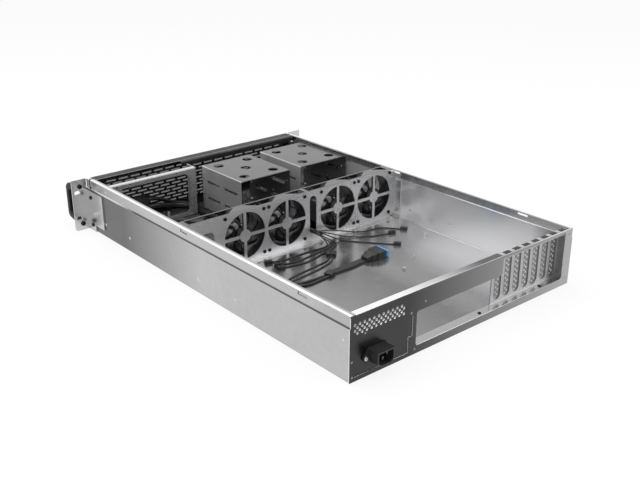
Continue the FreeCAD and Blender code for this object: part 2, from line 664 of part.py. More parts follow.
def fan_rotor(x):
    """Fan impeller: a cup over the motor, its shaft and blades round it."""
    seat_front = FAN_REAR - MOTOR_DEEP
    cup_rear = seat_front - ROTOR_GAP
    cup_front = FAN_FRONT + ROTOR_GAP
    hub = rod("y", cup_front, cup_rear, x, FAN_Z, MOTOR)
    hub = hub.cut(rod("y", cup_front + CUP_WALL, cup_rear + 1, x, FAN_Z, MOTOR - 2 * CUP_WALL))
    shaft = rod("y", cup_front + CUP_WALL / 2, FAN_REAR - 1 - GAP, x, FAN_Z, SHAFT)
    middle = (cup_front + cup_rear) / 2
    pitch = math.radians(BLADE_PITCH_DEG)
    half = BLADE_CHORD / 2
    inner, outer = MOTOR / 2 - CUP_WALL / 2, FAN_BORE / 2 - BLADE_TIP
    blades = []
    for number in range(BLADES):
        turn = FreeCAD.Rotation(V(0, 1, 0), 360.0 * number / BLADES + BLADE_TURN)
        across = V(math.cos(pitch), math.sin(pitch), 0)
        bulge = V(-math.sin(pitch), math.cos(pitch), 0)
        start, finish = across * -half, across * half
        thick = bulge * BLADE_THICK
        edges = [Part.Arc(start, bulge * BLADE_CAMBER, finish).toShape(),
                 Part.LineSegment(finish, finish + thick).toShape(),
                 Part.Arc(finish + thick, bulge * (BLADE_CAMBER + BLADE_THICK), start + thick).toShape(),
                 Part.LineSegment(start + thick, start).toShape()]
        blade = Part.Face(Part.Wire(edges)).extrude(V(0, 0, outer - inner))
        blade.translate(V(0, 0, inner))
        blade.Placement = FreeCAD.Placement(V(x, middle, FAN_Z), turn).multiply(blade.Placement)
        blades.append(blade)
    return join(hub, shaft, *blades)


def fan_screws():
    screws = [pan_screw("y", FAN_WALL_Y, -1, x + u, FAN_Z + v, FAN_SCREW_HEAD, FAN_SCREW_HOLE - GAP,
                        FAN_SCREW_LENGTH) for x in FAN_XS for u, v in fan_corners()]
    return Part.makeCompound(screws)


def drive_cage(x):
    """Folded cage open to the rear, with pressed-in shelves for three drives."""
    half = CAGE_WIDTH / 2
    section = [(x - half + CAGE_FOOT, SHEET), (x - half, SHEET), (x - half, CAGE_TOP),
               (x + half, CAGE_TOP), (x + half, SHEET), (x + half - CAGE_FOOT, SHEET)]
    cage = plate("y", CAGE_FRONT, CAGE_REAR, folded(section, -SHEET))
    middle = (CAGE_FRONT + CAGE_REAR) / 2
    spots = [(x, middle)] + [(x + u * CAGE_HOLE_X, middle + v * CAGE_HOLE_Y)
                             for u in (-1, 1) for v in (-1, 1)]
    cuts = [rod("z", CAGE_TOP - SHEET - 1, CAGE_TOP + 1, *spot, CAGE_HOLE) for spot in spots]
    shelves = []
    for z in CAGE_SHELF_ZS:
        for low, high in CAGE_SHELF_YS:
            slot = low, high, z, z + CAGE_SHELF_SLOT
            cuts.append(block(x - half - 1, x + half + 1, *slot))
            for side in (-1, 1):
                edges = sorted((x + side * half, x + side * (half - CAGE_SHELF)))
                shelves.append(block(*edges, low, high, z - SHEET, z))
    cuts += [rod("z", 0, 3 * SHEET, *spot, FLOOR_SCREW) for spot in cage_feet(x)]
    return join(cage.cut(cuts), *shelves)


def cage_feet(x):
    """Places of the screws in a cage's feet."""
    return [(x + side * (CAGE_WIDTH - CAGE_FOOT) / 2, y) for side in (-1, 1)
            for y in (CAGE_FRONT + CAGE_FOOT, CAGE_REAR - CAGE_FOOT)]


def floor_screws():
    """Screws in the feet of the cages and of the supply bracket."""
    spots = [spot for x in CAGE_XS.values() for spot in cage_feet(x)]
    spots += [(x, BRACKET_Y - BRACKET_FOOT / 2) for x in BRACKET_FEET]
    return Part.makeCompound([pan_screw("z", 2 * SHEET, -1, *spot, FLOOR_SCREW_HEAD,
                                        FLOOR_SCREW - GAP, SHEET) for spot in spots])


def psu_bracket():
    """Upright frame that a power supply is screwed to."""
    section = [(BRACKET_Y - BRACKET_LIP, TOP_IN - GAP), (BRACKET_Y, TOP_IN - GAP), (BRACKET_Y, SHEET),
               (BRACKET_Y - BRACKET_FOOT, SHEET)]
    right = LIP_END
    bracket = plate("x", BRACKET_LEFT, right, folded(section, -SHEET))
    low = BRACKET_LEFT
    cheek = block(low, low + SHEET, BRACKET_Y - BRACKET_CHEEK, BRACKET_Y, SHEET, TOP_IN - GAP)
    wing = block(right - SHEET, WALL_IN, BRACKET_Y - SHEET, BRACKET_Y, SHEET + BEND,
                 JOGGLE_Z - 2 * JOGGLE)
    foot = block(WALL_IN - SHEET, WALL_IN, BRACKET_Y - BRACKET_FOOT, BRACKET_Y, SHEET * 3,
                 JOGGLE_Z - 2 * JOGGLE)
    bracket = join(bracket, cheek, wing, foot)
    left, right, bottom, top = (BRACKET_OPEN_LEFT, BRACKET_OPEN_RIGHT, BRACKET_OPEN_BOTTOM,
                                BRACKET_OPEN_TOP)
    across, up = BRACKET_CORNER
    opening = polygon([(left + across, bottom), (right - across, bottom), (right, bottom + up),
                       (right, top - up), (right - across, top), (left + across, top),
                       (left, top - up), (left, bottom + up)])
    cuts = [plate("y", BRACKET_Y - SHEET - 1, BRACKET_Y + 1, opening)]
    holes = [(u, v, BRACKET_HOLE) for u, v in BRACKET_HOLES]
    holes += [(u, BRACKET_HOLE_TOP, BRACKET_SMALL_HOLE) for u in BRACKET_SMALL_XS]
    holes += [(left, v, BRACKET_NOTCH) for v in BRACKET_NOTCH_ZS]
    for hole in holes:
        cuts.append(rod("y", BRACKET_Y - SHEET - 1, BRACKET_Y + 1, *hole))
    for u in BRACKET_FEET:
        cuts.append(rod("z", 0, 3 * SHEET, u, BRACKET_Y - BRACKET_FOOT / 2, FLOOR_SCREW))
    return bracket.cut(cuts).removeSplitter()


def front_panel():
    """Front sheet pierced like brickwork, with a top lip and a floor flange."""
    near = [(FRONT_FOOT, SHEET), (-SHEET, SHEET), (-SHEET, HEIGHT), (FRONT_LIP, HEIGHT)]
    deep = near[:-1] + [(FRONT_LIP_DEEP, HEIGHT), (FRONT_LIP_DEEP, HEIGHT - FRONT_LIP_DROP)]
    panel = join(plate("x", FRONT_LIP_STEP, LIP_END, folded(near, -SHEET)),
                 plate("x", -LIP_END, FRONT_LIP_STEP, folded(deep, -SHEET)),
                 plate("y", -SHEET, 0, rectangle(-UPPER_OUT, UPPER_OUT, SHEET, HEIGHT - SHEET)),
                 plate("y", -SHEET, 0, rectangle(-WALL_OUT, WALL_OUT, SHEET, JOGGLE_Z)))
    cuts = []
    for row in range(BRICK_ROWS):
        z = BRICK_BOTTOM + BRICK_PITCH_Z * row
        shift = BRICK_X + BRICK_PITCH_X / 2 * (row % 2)
        count = int((LIP_END + LIP_END) / BRICK_PITCH_X) + 2
        for column in range(-count, count):
            low = shift + BRICK_PITCH_X * column - BRICK_WIDTH / 2
            high = low + BRICK_WIDTH
            if low < BRICK_MARGIN - LIP_END or high > LIP_END - BRICK_MARGIN:
                continue
            if high > MODULE_LEFT and low < MODULE_RIGHT and z < MODULE_TOP + BRICK_HEIGHT:
                continue
            cuts.append(plate("y", -SHEET - 1, 1, rectangle(low, high, z - BRICK_HEIGHT / 2,
                                                           z + BRICK_HEIGHT / 2)))
    for x, z, width in control_spots():
        cuts.append(rod("y", -SHEET - 1, 1, x, z, width + 2 * BUTTON_PLAY))
    for x, z in usb_spots():
        cuts.append(plate("y", -SHEET - 1, 1, rectangle(x - USB_WIDTH / 2, x + USB_WIDTH / 2,
                                                       z - USB_HEIGHT / 2, z + USB_HEIGHT / 2)))
    return panel.cut(cuts).removeSplitter()


def control_spots():
    """Places and widths of the buttons and lenses on the front."""
    z = (MODULE_BOTTOM + MODULE_TOP) / 2
    return [(MODULE_RIGHT - POWER_BUTTON, z, POWER_BUTTON),
            (MODULE_RIGHT - 2.3 * POWER_BUTTON, z, RESET_BUTTON)] + lens_spots()


def lens_spots():
    z = (MODULE_BOTTOM + MODULE_TOP) / 2
    return [(MODULE_LEFT + USB_WIDTH * 2, z + side * LENS * 1.5, LENS) for side in (-1, 1)]


def usb_spots():
    z = (MODULE_BOTTOM + MODULE_TOP) / 2
    return [(MODULE_LEFT + USB_WIDTH, z + side * USB_HEIGHT) for side in (-1, 1)]


def control_housing():
    """Tray behind the front panel, open to the front, that holds the control board."""
    tray = block(MODULE_LEFT, MODULE_RIGHT, 0, MODULE_DEEP, MODULE_BOTTOM, MODULE_TOP)
    inside = block(MODULE_LEFT + MODULE_WALL, MODULE_RIGHT - MODULE_WALL, -1, MODULE_DEEP - MODULE_WALL,
                   MODULE_BOTTOM + MODULE_WALL, MODULE_TOP - MODULE_WALL)
    return tray.cut(inside)


def control_board():
    """Board across the tray, with a switch behind each button."""
    board = block(MODULE_LEFT + MODULE_WALL, MODULE_RIGHT - MODULE_WALL, BOARD_Y, BOARD_Y + BOARD_THICK,
                  MODULE_BOTTOM + MODULE_WALL, MODULE_TOP - MODULE_WALL)
    switches = []
    for x, z, width in control_spots()[:2]:
        half = SWITCH / 2
        switches.append(block(x - half, x + half, BUTTON_REAR + BUTTON_TRAVEL + GAP, BOARD_Y,
                              z - half, z + half))
    return join(board, *switches)


def push_button(x, z, width):
    """Round button with a collar that the front panel holds back."""
    face = -SHEET - BUTTON_PROUD
    body = rod("y", face, BUTTON_REAR, x, z, width)
    dish = Part.makeSphere(width * 1.5)
    dish.translate(V(x, face - width * 1.5 + width * 0.06, z))
    collar = rod("y", BUTTON_PLAY, BUTTON_PLAY + SHEET, x, z, width + 2 * SHEET)
    return join(body, collar).cut(dish)


def indicator_lenses():
    return Part.makeCompound([rod("y", -SHEET - GAP, BOARD_Y, x, z, width) for x, z, width in lens_spots()])


def usb_sockets():
    """Two socket shells through the front panel, each with its tongue."""
    sockets = []
    for x, z in usb_spots():
        half, tall = USB_WIDTH / 2 - BUTTON_PLAY, USB_HEIGHT / 2 - BUTTON_PLAY
        shell = block(x - half, x + half, -SHEET - GAP, BOARD_Y, z - tall, z + tall)
        inside = block(x - half + USB_SHELL, x + half - USB_SHELL, -SHEET - 1, BOARD_Y - SHEET,
                       z - tall + USB_SHELL, z + tall - USB_SHELL)
        tongue = block(x - half * 0.8, x + half * 0.8, GAP, BOARD_Y - SHEET / 2, z, z + tall - 2 * USB_SHELL)
        sockets.append(join(shell.cut(inside), tongue))
    return Part.makeCompound(sockets)


def rack_ear():
    """Right-hand ear: a front flange with rack slots, and a stepped flange on the wall."""
    chamfer = EAR * 1.5
    front = [(WALL_OUT, 0), (EAR_OUT - chamfer, 0), (EAR_OUT, chamfer), (EAR_OUT, HEIGHT), (WALL_OUT, HEIGHT)]
    holes = [disc(HANDLE_X, z, HANDLE_SCREW + GAP) for z in HANDLE_ZS]
    holes += [obround(RACK_SPACING_X / 2, RACK_MID_Z + side * RACK_SPACING_Z / 2, RACK_SLOT,
                      RACK_SLOT_HEIGHT) for side in (-1, 1)]
    flange = [(-EAR, 0), (EAR_FLANGE_LOW, 0), (EAR_FLANGE_LOW, EAR_FLANGE_STEP),
              (EAR_FLANGE, EAR_FLANGE_STEP), (EAR_FLANGE, EAR_FLANGE_TOP), (-EAR, EAR_FLANGE_TOP)]
    screws = [disc(EAR_SCREW_Y, z, EAR_SCREW) for z in EAR_SCREW_ZS]
    return join(plate("y", -EAR, 0, polygon(front), holes),
                plate("x", WALL_OUT, WALL_OUT + EAR, polygon(flange), screws))


def ear_screws():
    screws = []
    for z in EAR_SCREW_ZS:
        right = pan_screw("x", WALL_OUT + EAR, -1, EAR_SCREW_Y, z, EAR_SCREW_HEAD, EAR_SCREW - GAP, EAR)
        screws += [right, mirrored(right)]
    return Part.makeCompound(screws)


def handle():
    """Right-hand handle: a bar on two slanting legs, with chamfered edges."""
    low, high = HANDLE_ZS
    pad = HANDLE_BAR / 2
    inner = HANDLE_FRONT + HANDLE_BAR
    outline = [(-EAR, low - pad), (HANDLE_FRONT, HANDLE_LOW), (HANDLE_FRONT, HANDLE_HIGH),
               (-EAR, high + pad), (-EAR, high - pad), (inner, HANDLE_HIGH - HANDLE_BAR),
               (inner, HANDLE_LOW + HANDLE_BAR), (-EAR, low + pad)]
    bar = plate("x", HANDLE_X - HANDLE_WIDTH / 2, HANDLE_X + HANDLE_WIDTH / 2,
                polygon(outline, [0, HANDLE_ROUND, HANDLE_ROUND, 0, 0, HANDLE_ROUND / 2,
                                  HANDLE_ROUND / 2, 0]))
    sides = [edge for edge in bar.Edges if abs(edge.BoundBox.XLength) < 1e-6
             and edge.BoundBox.YMin < -EAR - 1e-6]
    bar = bar.makeChamfer(HANDLE_EDGE, sides)
    taps = [rod("y", -EAR - HANDLE_TAP, -EAR + 1, HANDLE_X, z, HANDLE_SCREW) for z in HANDLE_ZS]
    return bar.cut(taps)


def handle_screws():
    screws = []
    for z in HANDLE_ZS:
        right = pan_screw("y", 0, -1, HANDLE_X, z, HANDLE_SCREW_HEAD, HANDLE_SCREW - GAP,
                          EAR + HANDLE_TAP - 1)
        screws += [right, mirrored(right)]
    return Part.makeCompound(screws)


def tube(name, points, section):
    """Lead along straight runs joined by tangent arcs, with a round or flat section.

    Each arc's radius is 0.45 of its shorter run over the tangent of half its turn.
    """
    spots = [V(*point) for point in points]
    runs = [(after - before).Length for before, after in zip(spots, spots[1:])]
    edges, radii, start = [], [], spots[0]
    for index in range(1, len(spots) - 1):
        before, spot, after = spots[index - 1:index + 2]
        half_turn = (spot - before).getAngle(after - spot) / 2
        radius = LEAD_ARC * min(runs[index - 1], runs[index]) / math.tan(half_turn)
        first, middle, last = corner(before, spot, after, radius)
        edges.append(Part.LineSegment(start, first).toShape())
        edges.append(Part.Arc(first, middle, last).toShape())
        radii.append(radius)
        start = last
    edges.append(Part.LineSegment(start, spots[-1]).toShape())
    path = Part.Wire(edges)
    heading = (spots[1] - spots[0]).normalize()
    if isinstance(section, tuple):
        width, height = section
        outline = rectangle(-width / 2, width / 2, -height / 2, height / 2)
        across = V(0, 0, 1).cross(heading)
        outline.Placement = FreeCAD.Placement(spots[0], FreeCAD.Rotation(across, V(0, 0, 1), heading))
        area = width * height
    else:
        outline = Part.Wire([Part.makeCircle(section / 2, spots[0], heading)])
        area = math.pi * section ** 2 / 4
    lead = path.makePipeShell([outline], True, False)
    share = lead.Volume / (area * path.Length)
    print(name, "length", round(path.Length, 1), "volume share", round(share, 4),
          "radii", [round(radius, 1) for radius in radii])
    return lead


def on_floor(section):
    """Height of a lead's middle where it lies on the floor."""
    return SHEET + section / 2 + LEAD_LIFT


def plug_block(tail, towards, length, width, height):
    """Housing of a plug that lies on the floor, its rear face at the end of a lead."""
    low = polygon([(0, -width / 2), (length, -width / 2), (length, width / 2), (0, width / 2)], width / 8)
    body = Part.Face(low).extrude(V(0, 0, height))
    heading = math.degrees(math.atan2(towards[1] - tail[1], towards[0] - tail[0]))
    body.Placement = FreeCAD.Placement(V(tail[0], tail[1], SHEET), FreeCAD.Rotation(V(0, 0, 1), heading))
    return body


THIN_Z = on_floor(LEAD)
THICK_Z = on_floor(THICK_LEAD)
LOOM_Z = on_floor(LOOM)
SIDE_LOOM_Z = on_floor(SIDE_LOOM)
MAINS_Z = on_floor(MAINS)
FLAT_Z = on_floor(FLAT_HEIGHT)

# Loom from the control module to the cable slot, and the thin leads that leave it there
FRONT_LOOM = [(MODULE_LEFT, 6.5, 27), (94, 6.5, 27), (77, 5.6, 20), (61, 5.2, 12), (44, 5.8, 7),
              (26.6, 22, 6), (25.9, 44, LOOM_Z), (26.3, 84, LOOM_Z), (25.9, 128, LOOM_Z),
              (27, 172, LOOM_Z), (17, 205, LOOM_Z), (-5, 229, LOOM_Z), (-23, 245, 5.2),
              (-31, 262, 10), (CABLE_SLOT_X, 279, 19.2), (CABLE_SLOT_X, 297, 19.2)]
SLOT_LEADS = [
    [(-30.2, 297, 19.2), (-30.2, 306, 19.2), (-34.5, 312, 12.5), (-39.5, 316, 5.5), (-36.5, 322, 2.7),
     (-26, 323.5, THIN_Z), (-11, 322, THIN_Z), (8, 320.4, THIN_Z), (30, 321.4, THIN_Z),
     (52, 321.8, THIN_Z), (71, 316, THIN_Z)],
    [(-31.4, 297, 17.1), (-31.4, 304.5, 17.1), (-38.5, 309.5, 10.5), (-46.5, 314, 4.4),
     (-46.5, 323, 2.6), (-36, 329, THIN_Z), (-14, 331, THIN_Z), (11, 334.8, THIN_Z),
     (30, 338, THIN_Z), (49, 338.4, THIN_Z), (65, 333, THIN_Z)],
    [(-33.8, 297, 17.1), (-33.8, 303, 17.1), (-42.5, 307.5, 10.8), (-52.5, 312.5, 4.2),
     (-54, 323.5, 2.4), (-45, 332.5, THIN_Z), (-26, 337.5, THIN_Z), (-4, 342.5, THIN_Z),
     (16, 348, THIN_Z), (35, 350.5, THIN_Z), (53, 347, THIN_Z), (69, 344, THIN_Z)],
    [(-33.8, 297, 21.3), (-33.8, 302, 21.3), (-43, 303, 20.5), (-57, 302.5, 17.5), (-74, 303, 12.5),
     (-93, 306.5, 7.5), (-110, 312, 3.2), (-126, 317, THIN_Z), (-142, 317.5, THIN_Z),
     (-155, 322, THIN_Z), (-167, 333, THIN_Z), (-176, 346.5, THIN_Z)],
    [(-31.4, 297, 21.3), (-31.4, 303.5, 21.3), (-42, 307, 19), (-56, 308.5, 13.5), (-70, 311, 7.8),
     (-84, 316.5, 3.4), (-98, 326.5, THIN_Z), (-114, 338, THIN_Z), (-131, 344.5, THIN_Z),
     (-147, 348.5, THIN_Z)],
    [(-35, 297, 19.2), (-35, 302, 19.2), (-43.5, 305.3, 15.2), (-55, 309, 8.8), (-66, 317.5, 3),
     (-77, 331, THIN_Z), (-89, 348, THIN_Z), (-105, 368, THIN_Z), (-121, 386, THIN_Z)],
]

# Loom from the control module past the side opening, and the leads that leave it there
SIDE_LOOM_PATH = [(MODULE_LEFT, 14, 16), (92, 14, 16), (72, 14.4, 10.5), (52.5, 14, 7.6),
                  (35.3, 31.5, 6.2), (35.6, 56, SIDE_LOOM_Z), (34.9, 100, SIDE_LOOM_Z),
                  (35.5, 150, SIDE_LOOM_Z), (41, 188, SIDE_LOOM_Z), (62, 220, SIDE_LOOM_Z),
                  (94, 240, SIDE_LOOM_Z), (132, 247, 6.2), (162, 261, 9.5), (176, 286, 15.4),
                  (180.5, 312, 14), (184, 340, 7), (182, 362, SIDE_LOOM_Z), (166, 386, SIDE_LOOM_Z),
                  (147, 398, SIDE_LOOM_Z), (126, 398, SIDE_LOOM_Z)]
SIDE_LEADS = [
    [(126, 395.8, 4.6), (117, 395.8, 4.6), (105, 389, 2.9), (90, 380.5, THIN_Z), (68, 375.8, THIN_Z),
     (46, 373, THIN_Z), (27, 370.4, THIN_Z), (8, 368, THIN_Z), (-4, 362.5, THIN_Z), (-11, 353.5, THIN_Z)],
    [(126, 395.8, 7.0), (117, 395.8, 7.0), (104, 393, 4.2), (87, 389, THIN_Z), (64, 386.6, THIN_Z),
     (41, 383.4, THIN_Z), (21, 379.6, THIN_Z), (4, 374.4, THIN_Z), (-8, 367, THIN_Z),
     (-17, 358.5, THIN_Z)],
]
THICK_LEADS = [
    [(126, 400.2, 4.05), (117, 400.2, 4.05), (105, 406, 3.2), (91, 412.6, THICK_Z),
     (74, 415.6, THICK_Z), (57, 412.6, THICK_Z), (40, 412.6, THICK_Z)],
    [(126, 400.2, 7.55), (116, 400.2, 7.55), (101, 402.4, 4.6), (83, 405, THICK_Z),
     (62, 406.8, THICK_Z), (42, 406.8, THICK_Z)],
]
USB_CABLE = [(26, 405, FLAT_Z), (12, 405, FLAT_Z), (-9, 405.6, FLAT_Z), (-30, 402.6, FLAT_Z),
             (-41, 402.6, FLAT_Z)]

# Supply lead from the inlet along the side wall to a plug in the supply bay
POWER_LEAD = [(INLET_X, DEPTH - INLET_DEEP, INLET_Z), (INLET_X, 612, INLET_Z), (172, 586, 20.5),
              (178, 558, 10), (186, 528, 5), (193, 490, MAINS_Z), (196, 446, MAINS_Z),
              (195.4, 400, MAINS_Z), (197, 360, MAINS_Z), (195, 326, 8), (193, 296, 14.6),
              (190, 266, 11), (188, 238, 5.2), (188.4, 202, MAINS_Z), (184, 160, MAINS_Z),
              (181, 122, MAINS_Z), (176, 96, MAINS_Z), (161, 77, MAINS_Z), (140, 67.6, 5.2),
              (118, 70, 7), (100.4, 82.4, 9.7), (88, 98, 9.7)]


def header_plugs():
    """Small plugs on the thin leads, and the sleeve that joins the thick ones."""
    plugs = []
    for route in SLOT_LEADS + SIDE_LEADS:
        end, before = route[-1], route[-2]
        towards = [2 * a - b for a, b in zip(end, before)]
        plugs.append(plug_block(end, towards, HEADER_LENGTH, HEADER_WIDTH, HEADER_HEIGHT))
    start, end = THICK_LEADS[0][-1], USB_CABLE[0]
    middle = (THICK_LEADS[0][-1][1] + THICK_LEADS[1][-1][1]) / 2
    sleeve = plug_block((start[0], middle), (end[0], middle), start[0] - end[0], SLEEVE_WIDTH,
                        SLEEVE_HEIGHT)
    return Part.makeCompound(plugs + [sleeve])


def usb_plug():
    """Board header plug with a recess for its insert."""
    length, width, height = USB_PLUG
    end = USB_CABLE[-1]
    body = plug_block(end, (end[0] - 1, end[1]), length, width, height)
    return body.cut(usb_insert_block(0))


def usb_insert_block(clearance):
    length, width, height = USB_PLUG
    end = USB_CABLE[-1]
    face = end[0] - length
    side = width / 2 - USB_WALL - clearance
    return block(face - USB_COLLAR / 2, face + USB_INSERT_DEEP - clearance, end[1] - side,
                 end[1] + side, SHEET + USB_WALL + clearance, SHEET + height - USB_WALL - clearance)


def usb_plug_insert():
    """Insert of the header plug, with a collar as wide as the plug over its end."""
    length, width, height = USB_PLUG
    end = USB_CABLE[-1]
    face = end[0] - length
    middle = SHEET + height / 2
    collar = block(face - USB_COLLAR, face, end[1] - width / 2, end[1] + width / 2,
                   middle - USB_COLLAR_HEIGHT / 2, middle + USB_COLLAR_HEIGHT / 2)
    return join(collar, usb_insert_block(GAP / 3))


def power_plug():
    """Appliance plug on the supply lead: a tapered grip and a chamfered nose."""
    end, before = POWER_LEAD[-1], POWER_LEAD[-2]
    heading = math.degrees(math.atan2(end[1] - before[1], end[0] - before[0]))

    def section(width, height, chamfer):
        half, tall = width / 2, height / 2
        return polygon([(-half, -tall), (half, -tall), (half, tall - chamfer), (half - chamfer, tall),
                        (-half + chamfer, tall), (-half, tall - chamfer)])

    grip_end = section(PLUG_WIDTH * PLUG_TAPER, PLUG_HEIGHT * PLUG_TAPER, PLUG_CHAMFER * PLUG_TAPER)
    grip = section(PLUG_WIDTH, PLUG_HEIGHT, PLUG_CHAMFER)
    grip.translate(V(0, 0, PLUG_GRIP))
    nose = Part.Face(section(PLUG_WIDTH, PLUG_HEIGHT, PLUG_CHAMFER)).extrude(V(0, 0, PLUG_NOSE))
    nose.translate(V(0, 0, PLUG_GRIP))
    body = join(Part.makeLoft([grip_end, grip], True, True), nose)
    sockets = [block(x - PIN_THICK / 2, x + PIN_THICK / 2, y - PIN_WIDTH / 2, y + PIN_WIDTH / 2,
                     PLUG_GRIP, PLUG_GRIP + PLUG_NOSE + 1)
               for x, y in ((-7.0, -1.5), (7.0, -1.5), (0.0, 3.0))]
    body = body.cut(sockets)
    along = V(math.cos(math.radians(heading)), math.sin(math.radians(heading)), 0)
    spin = FreeCAD.Rotation(V(0, 0, 1).cross(along), V(0, 0, 1), along)
    body.Placement = FreeCAD.Placement(V(end[0], end[1], SHEET + PLUG_HEIGHT / 2), spin)
    return body


os.makedirs("parts", exist_ok=True)
save("chassis_tub", chassis_tub())
save("rear_panel", rear_panel())
save("slot_panel", slot_panel())
for number, slot_x in enumerate(SLOT_XS, 1):
    save("slot_cover_%d" % number, slot_cover(slot_x))
save("slot_cover_screws", slot_cover_screws())
save("inlet_plate", inlet_plate())
save("power_inlet", power_inlet())
save("power_inlet_pins", power_inlet_pins())
save("panel_screws", panel_screws())
save("fan_wall", fan_wall())
for number, fan_x in enumerate(FAN_XS, 1):
    save("fan_frame_%d" % number, fan_frame(fan_x))
    save("fan_rotor_%d" % number, fan_rotor(fan_x))
save("fan_screws", fan_screws())
for side, cage_x in CAGE_XS.items():
    save("drive_cage_" + side, drive_cage(cage_x))
save("floor_screws", floor_screws())
save("psu_bracket", psu_bracket())
save("front_panel", front_panel())
save("control_housing", control_housing())
save("control_board", control_board())
save("power_button", push_button(*control_spots()[0]))
save("reset_button", push_button(*control_spots()[1]))
save("indicator_lenses", indicator_lenses())
save("usb_sockets", usb_sockets())
save("rack_ear_right", rack_ear())
save("rack_ear_left", mirrored(rack_ear()))
save("ear_screws", ear_screws())
save("handle_right", handle())
save("handle_left", mirrored(handle()))
save("handle_screws", handle_screws())
save("front_loom", tube("front_loom", FRONT_LOOM, LOOM))
save("side_loom", tube("side_loom", SIDE_LOOM_PATH, SIDE_LOOM))
for number, route in enumerate(SLOT_LEADS, 1):
    save("slot_lead_%d" % number, tube("slot_lead_%d" % number, route, LEAD))
for number, route in enumerate(SIDE_LEADS, 1):
    save("side_lead_%d" % number, tube("side_lead_%d" % number, route, LEAD))
for number, route in enumerate(THICK_LEADS, 1):
    save("thick_lead_%d" % number, tube("thick_lead_%d" % number, route, THICK_LEAD))
save("usb_cable", tube("usb_cable", USB_CABLE, (FLAT_WIDTH, FLAT_HEIGHT)))
save("header_plugs", header_plugs())
save("usb_plug", usb_plug())
save("usb_plug_insert", usb_plug_insert())
save("power_lead", tube("power_lead", POWER_LEAD, MAINS))
save("power_plug", power_plug())
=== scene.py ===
"""Empty two-unit rack server case with its lid off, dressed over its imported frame.

Row frame in metres: the front with its ears faces -Y, the rear with its inlet +Y.
"""

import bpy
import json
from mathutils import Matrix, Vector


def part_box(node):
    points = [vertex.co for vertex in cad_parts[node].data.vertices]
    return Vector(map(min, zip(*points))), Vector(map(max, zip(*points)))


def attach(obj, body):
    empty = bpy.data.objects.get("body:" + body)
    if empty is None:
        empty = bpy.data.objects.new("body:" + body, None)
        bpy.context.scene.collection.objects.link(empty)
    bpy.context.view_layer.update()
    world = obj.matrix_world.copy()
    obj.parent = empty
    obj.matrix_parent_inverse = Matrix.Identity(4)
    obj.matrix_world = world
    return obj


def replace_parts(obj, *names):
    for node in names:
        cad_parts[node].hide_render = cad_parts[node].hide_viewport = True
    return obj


bl_info = {
    "name": "Rack Server Case",
    "version": (1, 0, 0),
    "blender": (4, 5, 0),
    "location": "3D Viewport > Sidebar > Server Case",
    "description": "Finishes, fasteners, fans, leads and stage of an open rack server case",
    "category": "Object",
}

import json
import math

import bmesh
import bpy
import numpy as np
from bpy.props import FloatProperty, FloatVectorProperty, IntProperty, PointerProperty
from mathutils import Matrix, Vector

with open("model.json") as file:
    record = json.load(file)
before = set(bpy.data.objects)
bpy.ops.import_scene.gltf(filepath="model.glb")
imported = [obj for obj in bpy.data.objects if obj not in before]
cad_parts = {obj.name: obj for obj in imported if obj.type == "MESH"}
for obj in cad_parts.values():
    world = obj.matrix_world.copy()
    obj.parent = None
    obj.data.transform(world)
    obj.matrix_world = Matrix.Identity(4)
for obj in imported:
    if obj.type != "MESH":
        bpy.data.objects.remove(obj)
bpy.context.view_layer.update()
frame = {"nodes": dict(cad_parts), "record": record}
NODES = frame["nodes"]

# Camera: place, direction of view and roll, and its lens by the picture's own pixels
EYE = (0.82690, 1.00251, 0.55880)
LOOKING = (-0.592508, -0.708573, -0.383222)
ROLL_DEG = -0.159
FOCAL_PX = 890.507
CENTRE_PX = (311.299, 239.190)
PICTURE_PX = (640, 480)
SENSOR_MM = 36.0

# Levels shared by several pieces, from the CAD nodes
REAR_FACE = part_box("rear_panel")[1].y
PLATE_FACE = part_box("inlet_plate")[1].y
FAN_WALL_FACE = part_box("fan_wall")[1].y - 0.018
EAR_FACE_X = 0.217
FAN_HEIGHT = 0.046
FAN_SCREW_REACH = 0.03575
SLOT_PITCH = 0.02032
SCREEN_Y = -0.3107
THIN_LEAD = 0.002
FLAT_CABLE = 0.012

# Bounds of the tub's surfaces, as distance from the middle or height
WALL_INSIDE = 0.2141    # nearer the middle is inside the case
WALL_SKIN = 0.2125      # beyond this, inside, is a side wall's inner face
UNDERSIDE = 0.0006      # lower is the underside
FLOOR_TOP = 0.0014
JOGGLE_LINE = 0.0728
UPPER_WALL = 0.0733     # higher is the part above the joggle
RIM_TOP = 0.0877

FINISHES = {}
CAGE_MIDDLES = {"left": -0.030, "right": -0.1568}
# Nodes whose finish isn't the one of their slot in the record; most are lighter or darker copies of
# the zinc, as painted light and shade
OWN_FINISH = {"fan_wall": "zinc_lip", "slot_panel": "zinc_pan", "psu_bracket": "zinc_bracket",
              "rack_ear_left": "zinc_ear", "rack_ear_right": "zinc_ear",
              "drive_cage_left": "zinc_cage_left", "drive_cage_right": "zinc_cage_right"}
for number in range(1, 8):
    OWN_FINISH["slot_cover_%d" % number] = "zinc_cover"

# Middles of the fans
FAN_SPOTS = []
for number in range(1, 5):
    low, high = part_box("fan_frame_%d" % number)
    FAN_SPOTS.append((low + high) / 2)

# Rivets in the side walls: place along Y, height, and distance of the face from the middle
WALL_RIVETS = [(-0.1742, 0.0238, 0.215), (0.0203, 0.0221, 0.215), (0.1106, 0.0231, 0.215),
               (0.3278, 0.0545, 0.215), (-0.020, 0.0798, 0.2135), (-0.247, 0.0799, 0.2135),
               (-0.252, 0.023, 0.215)]
EAR_RIVETS = [(-0.261, 0.0597)]
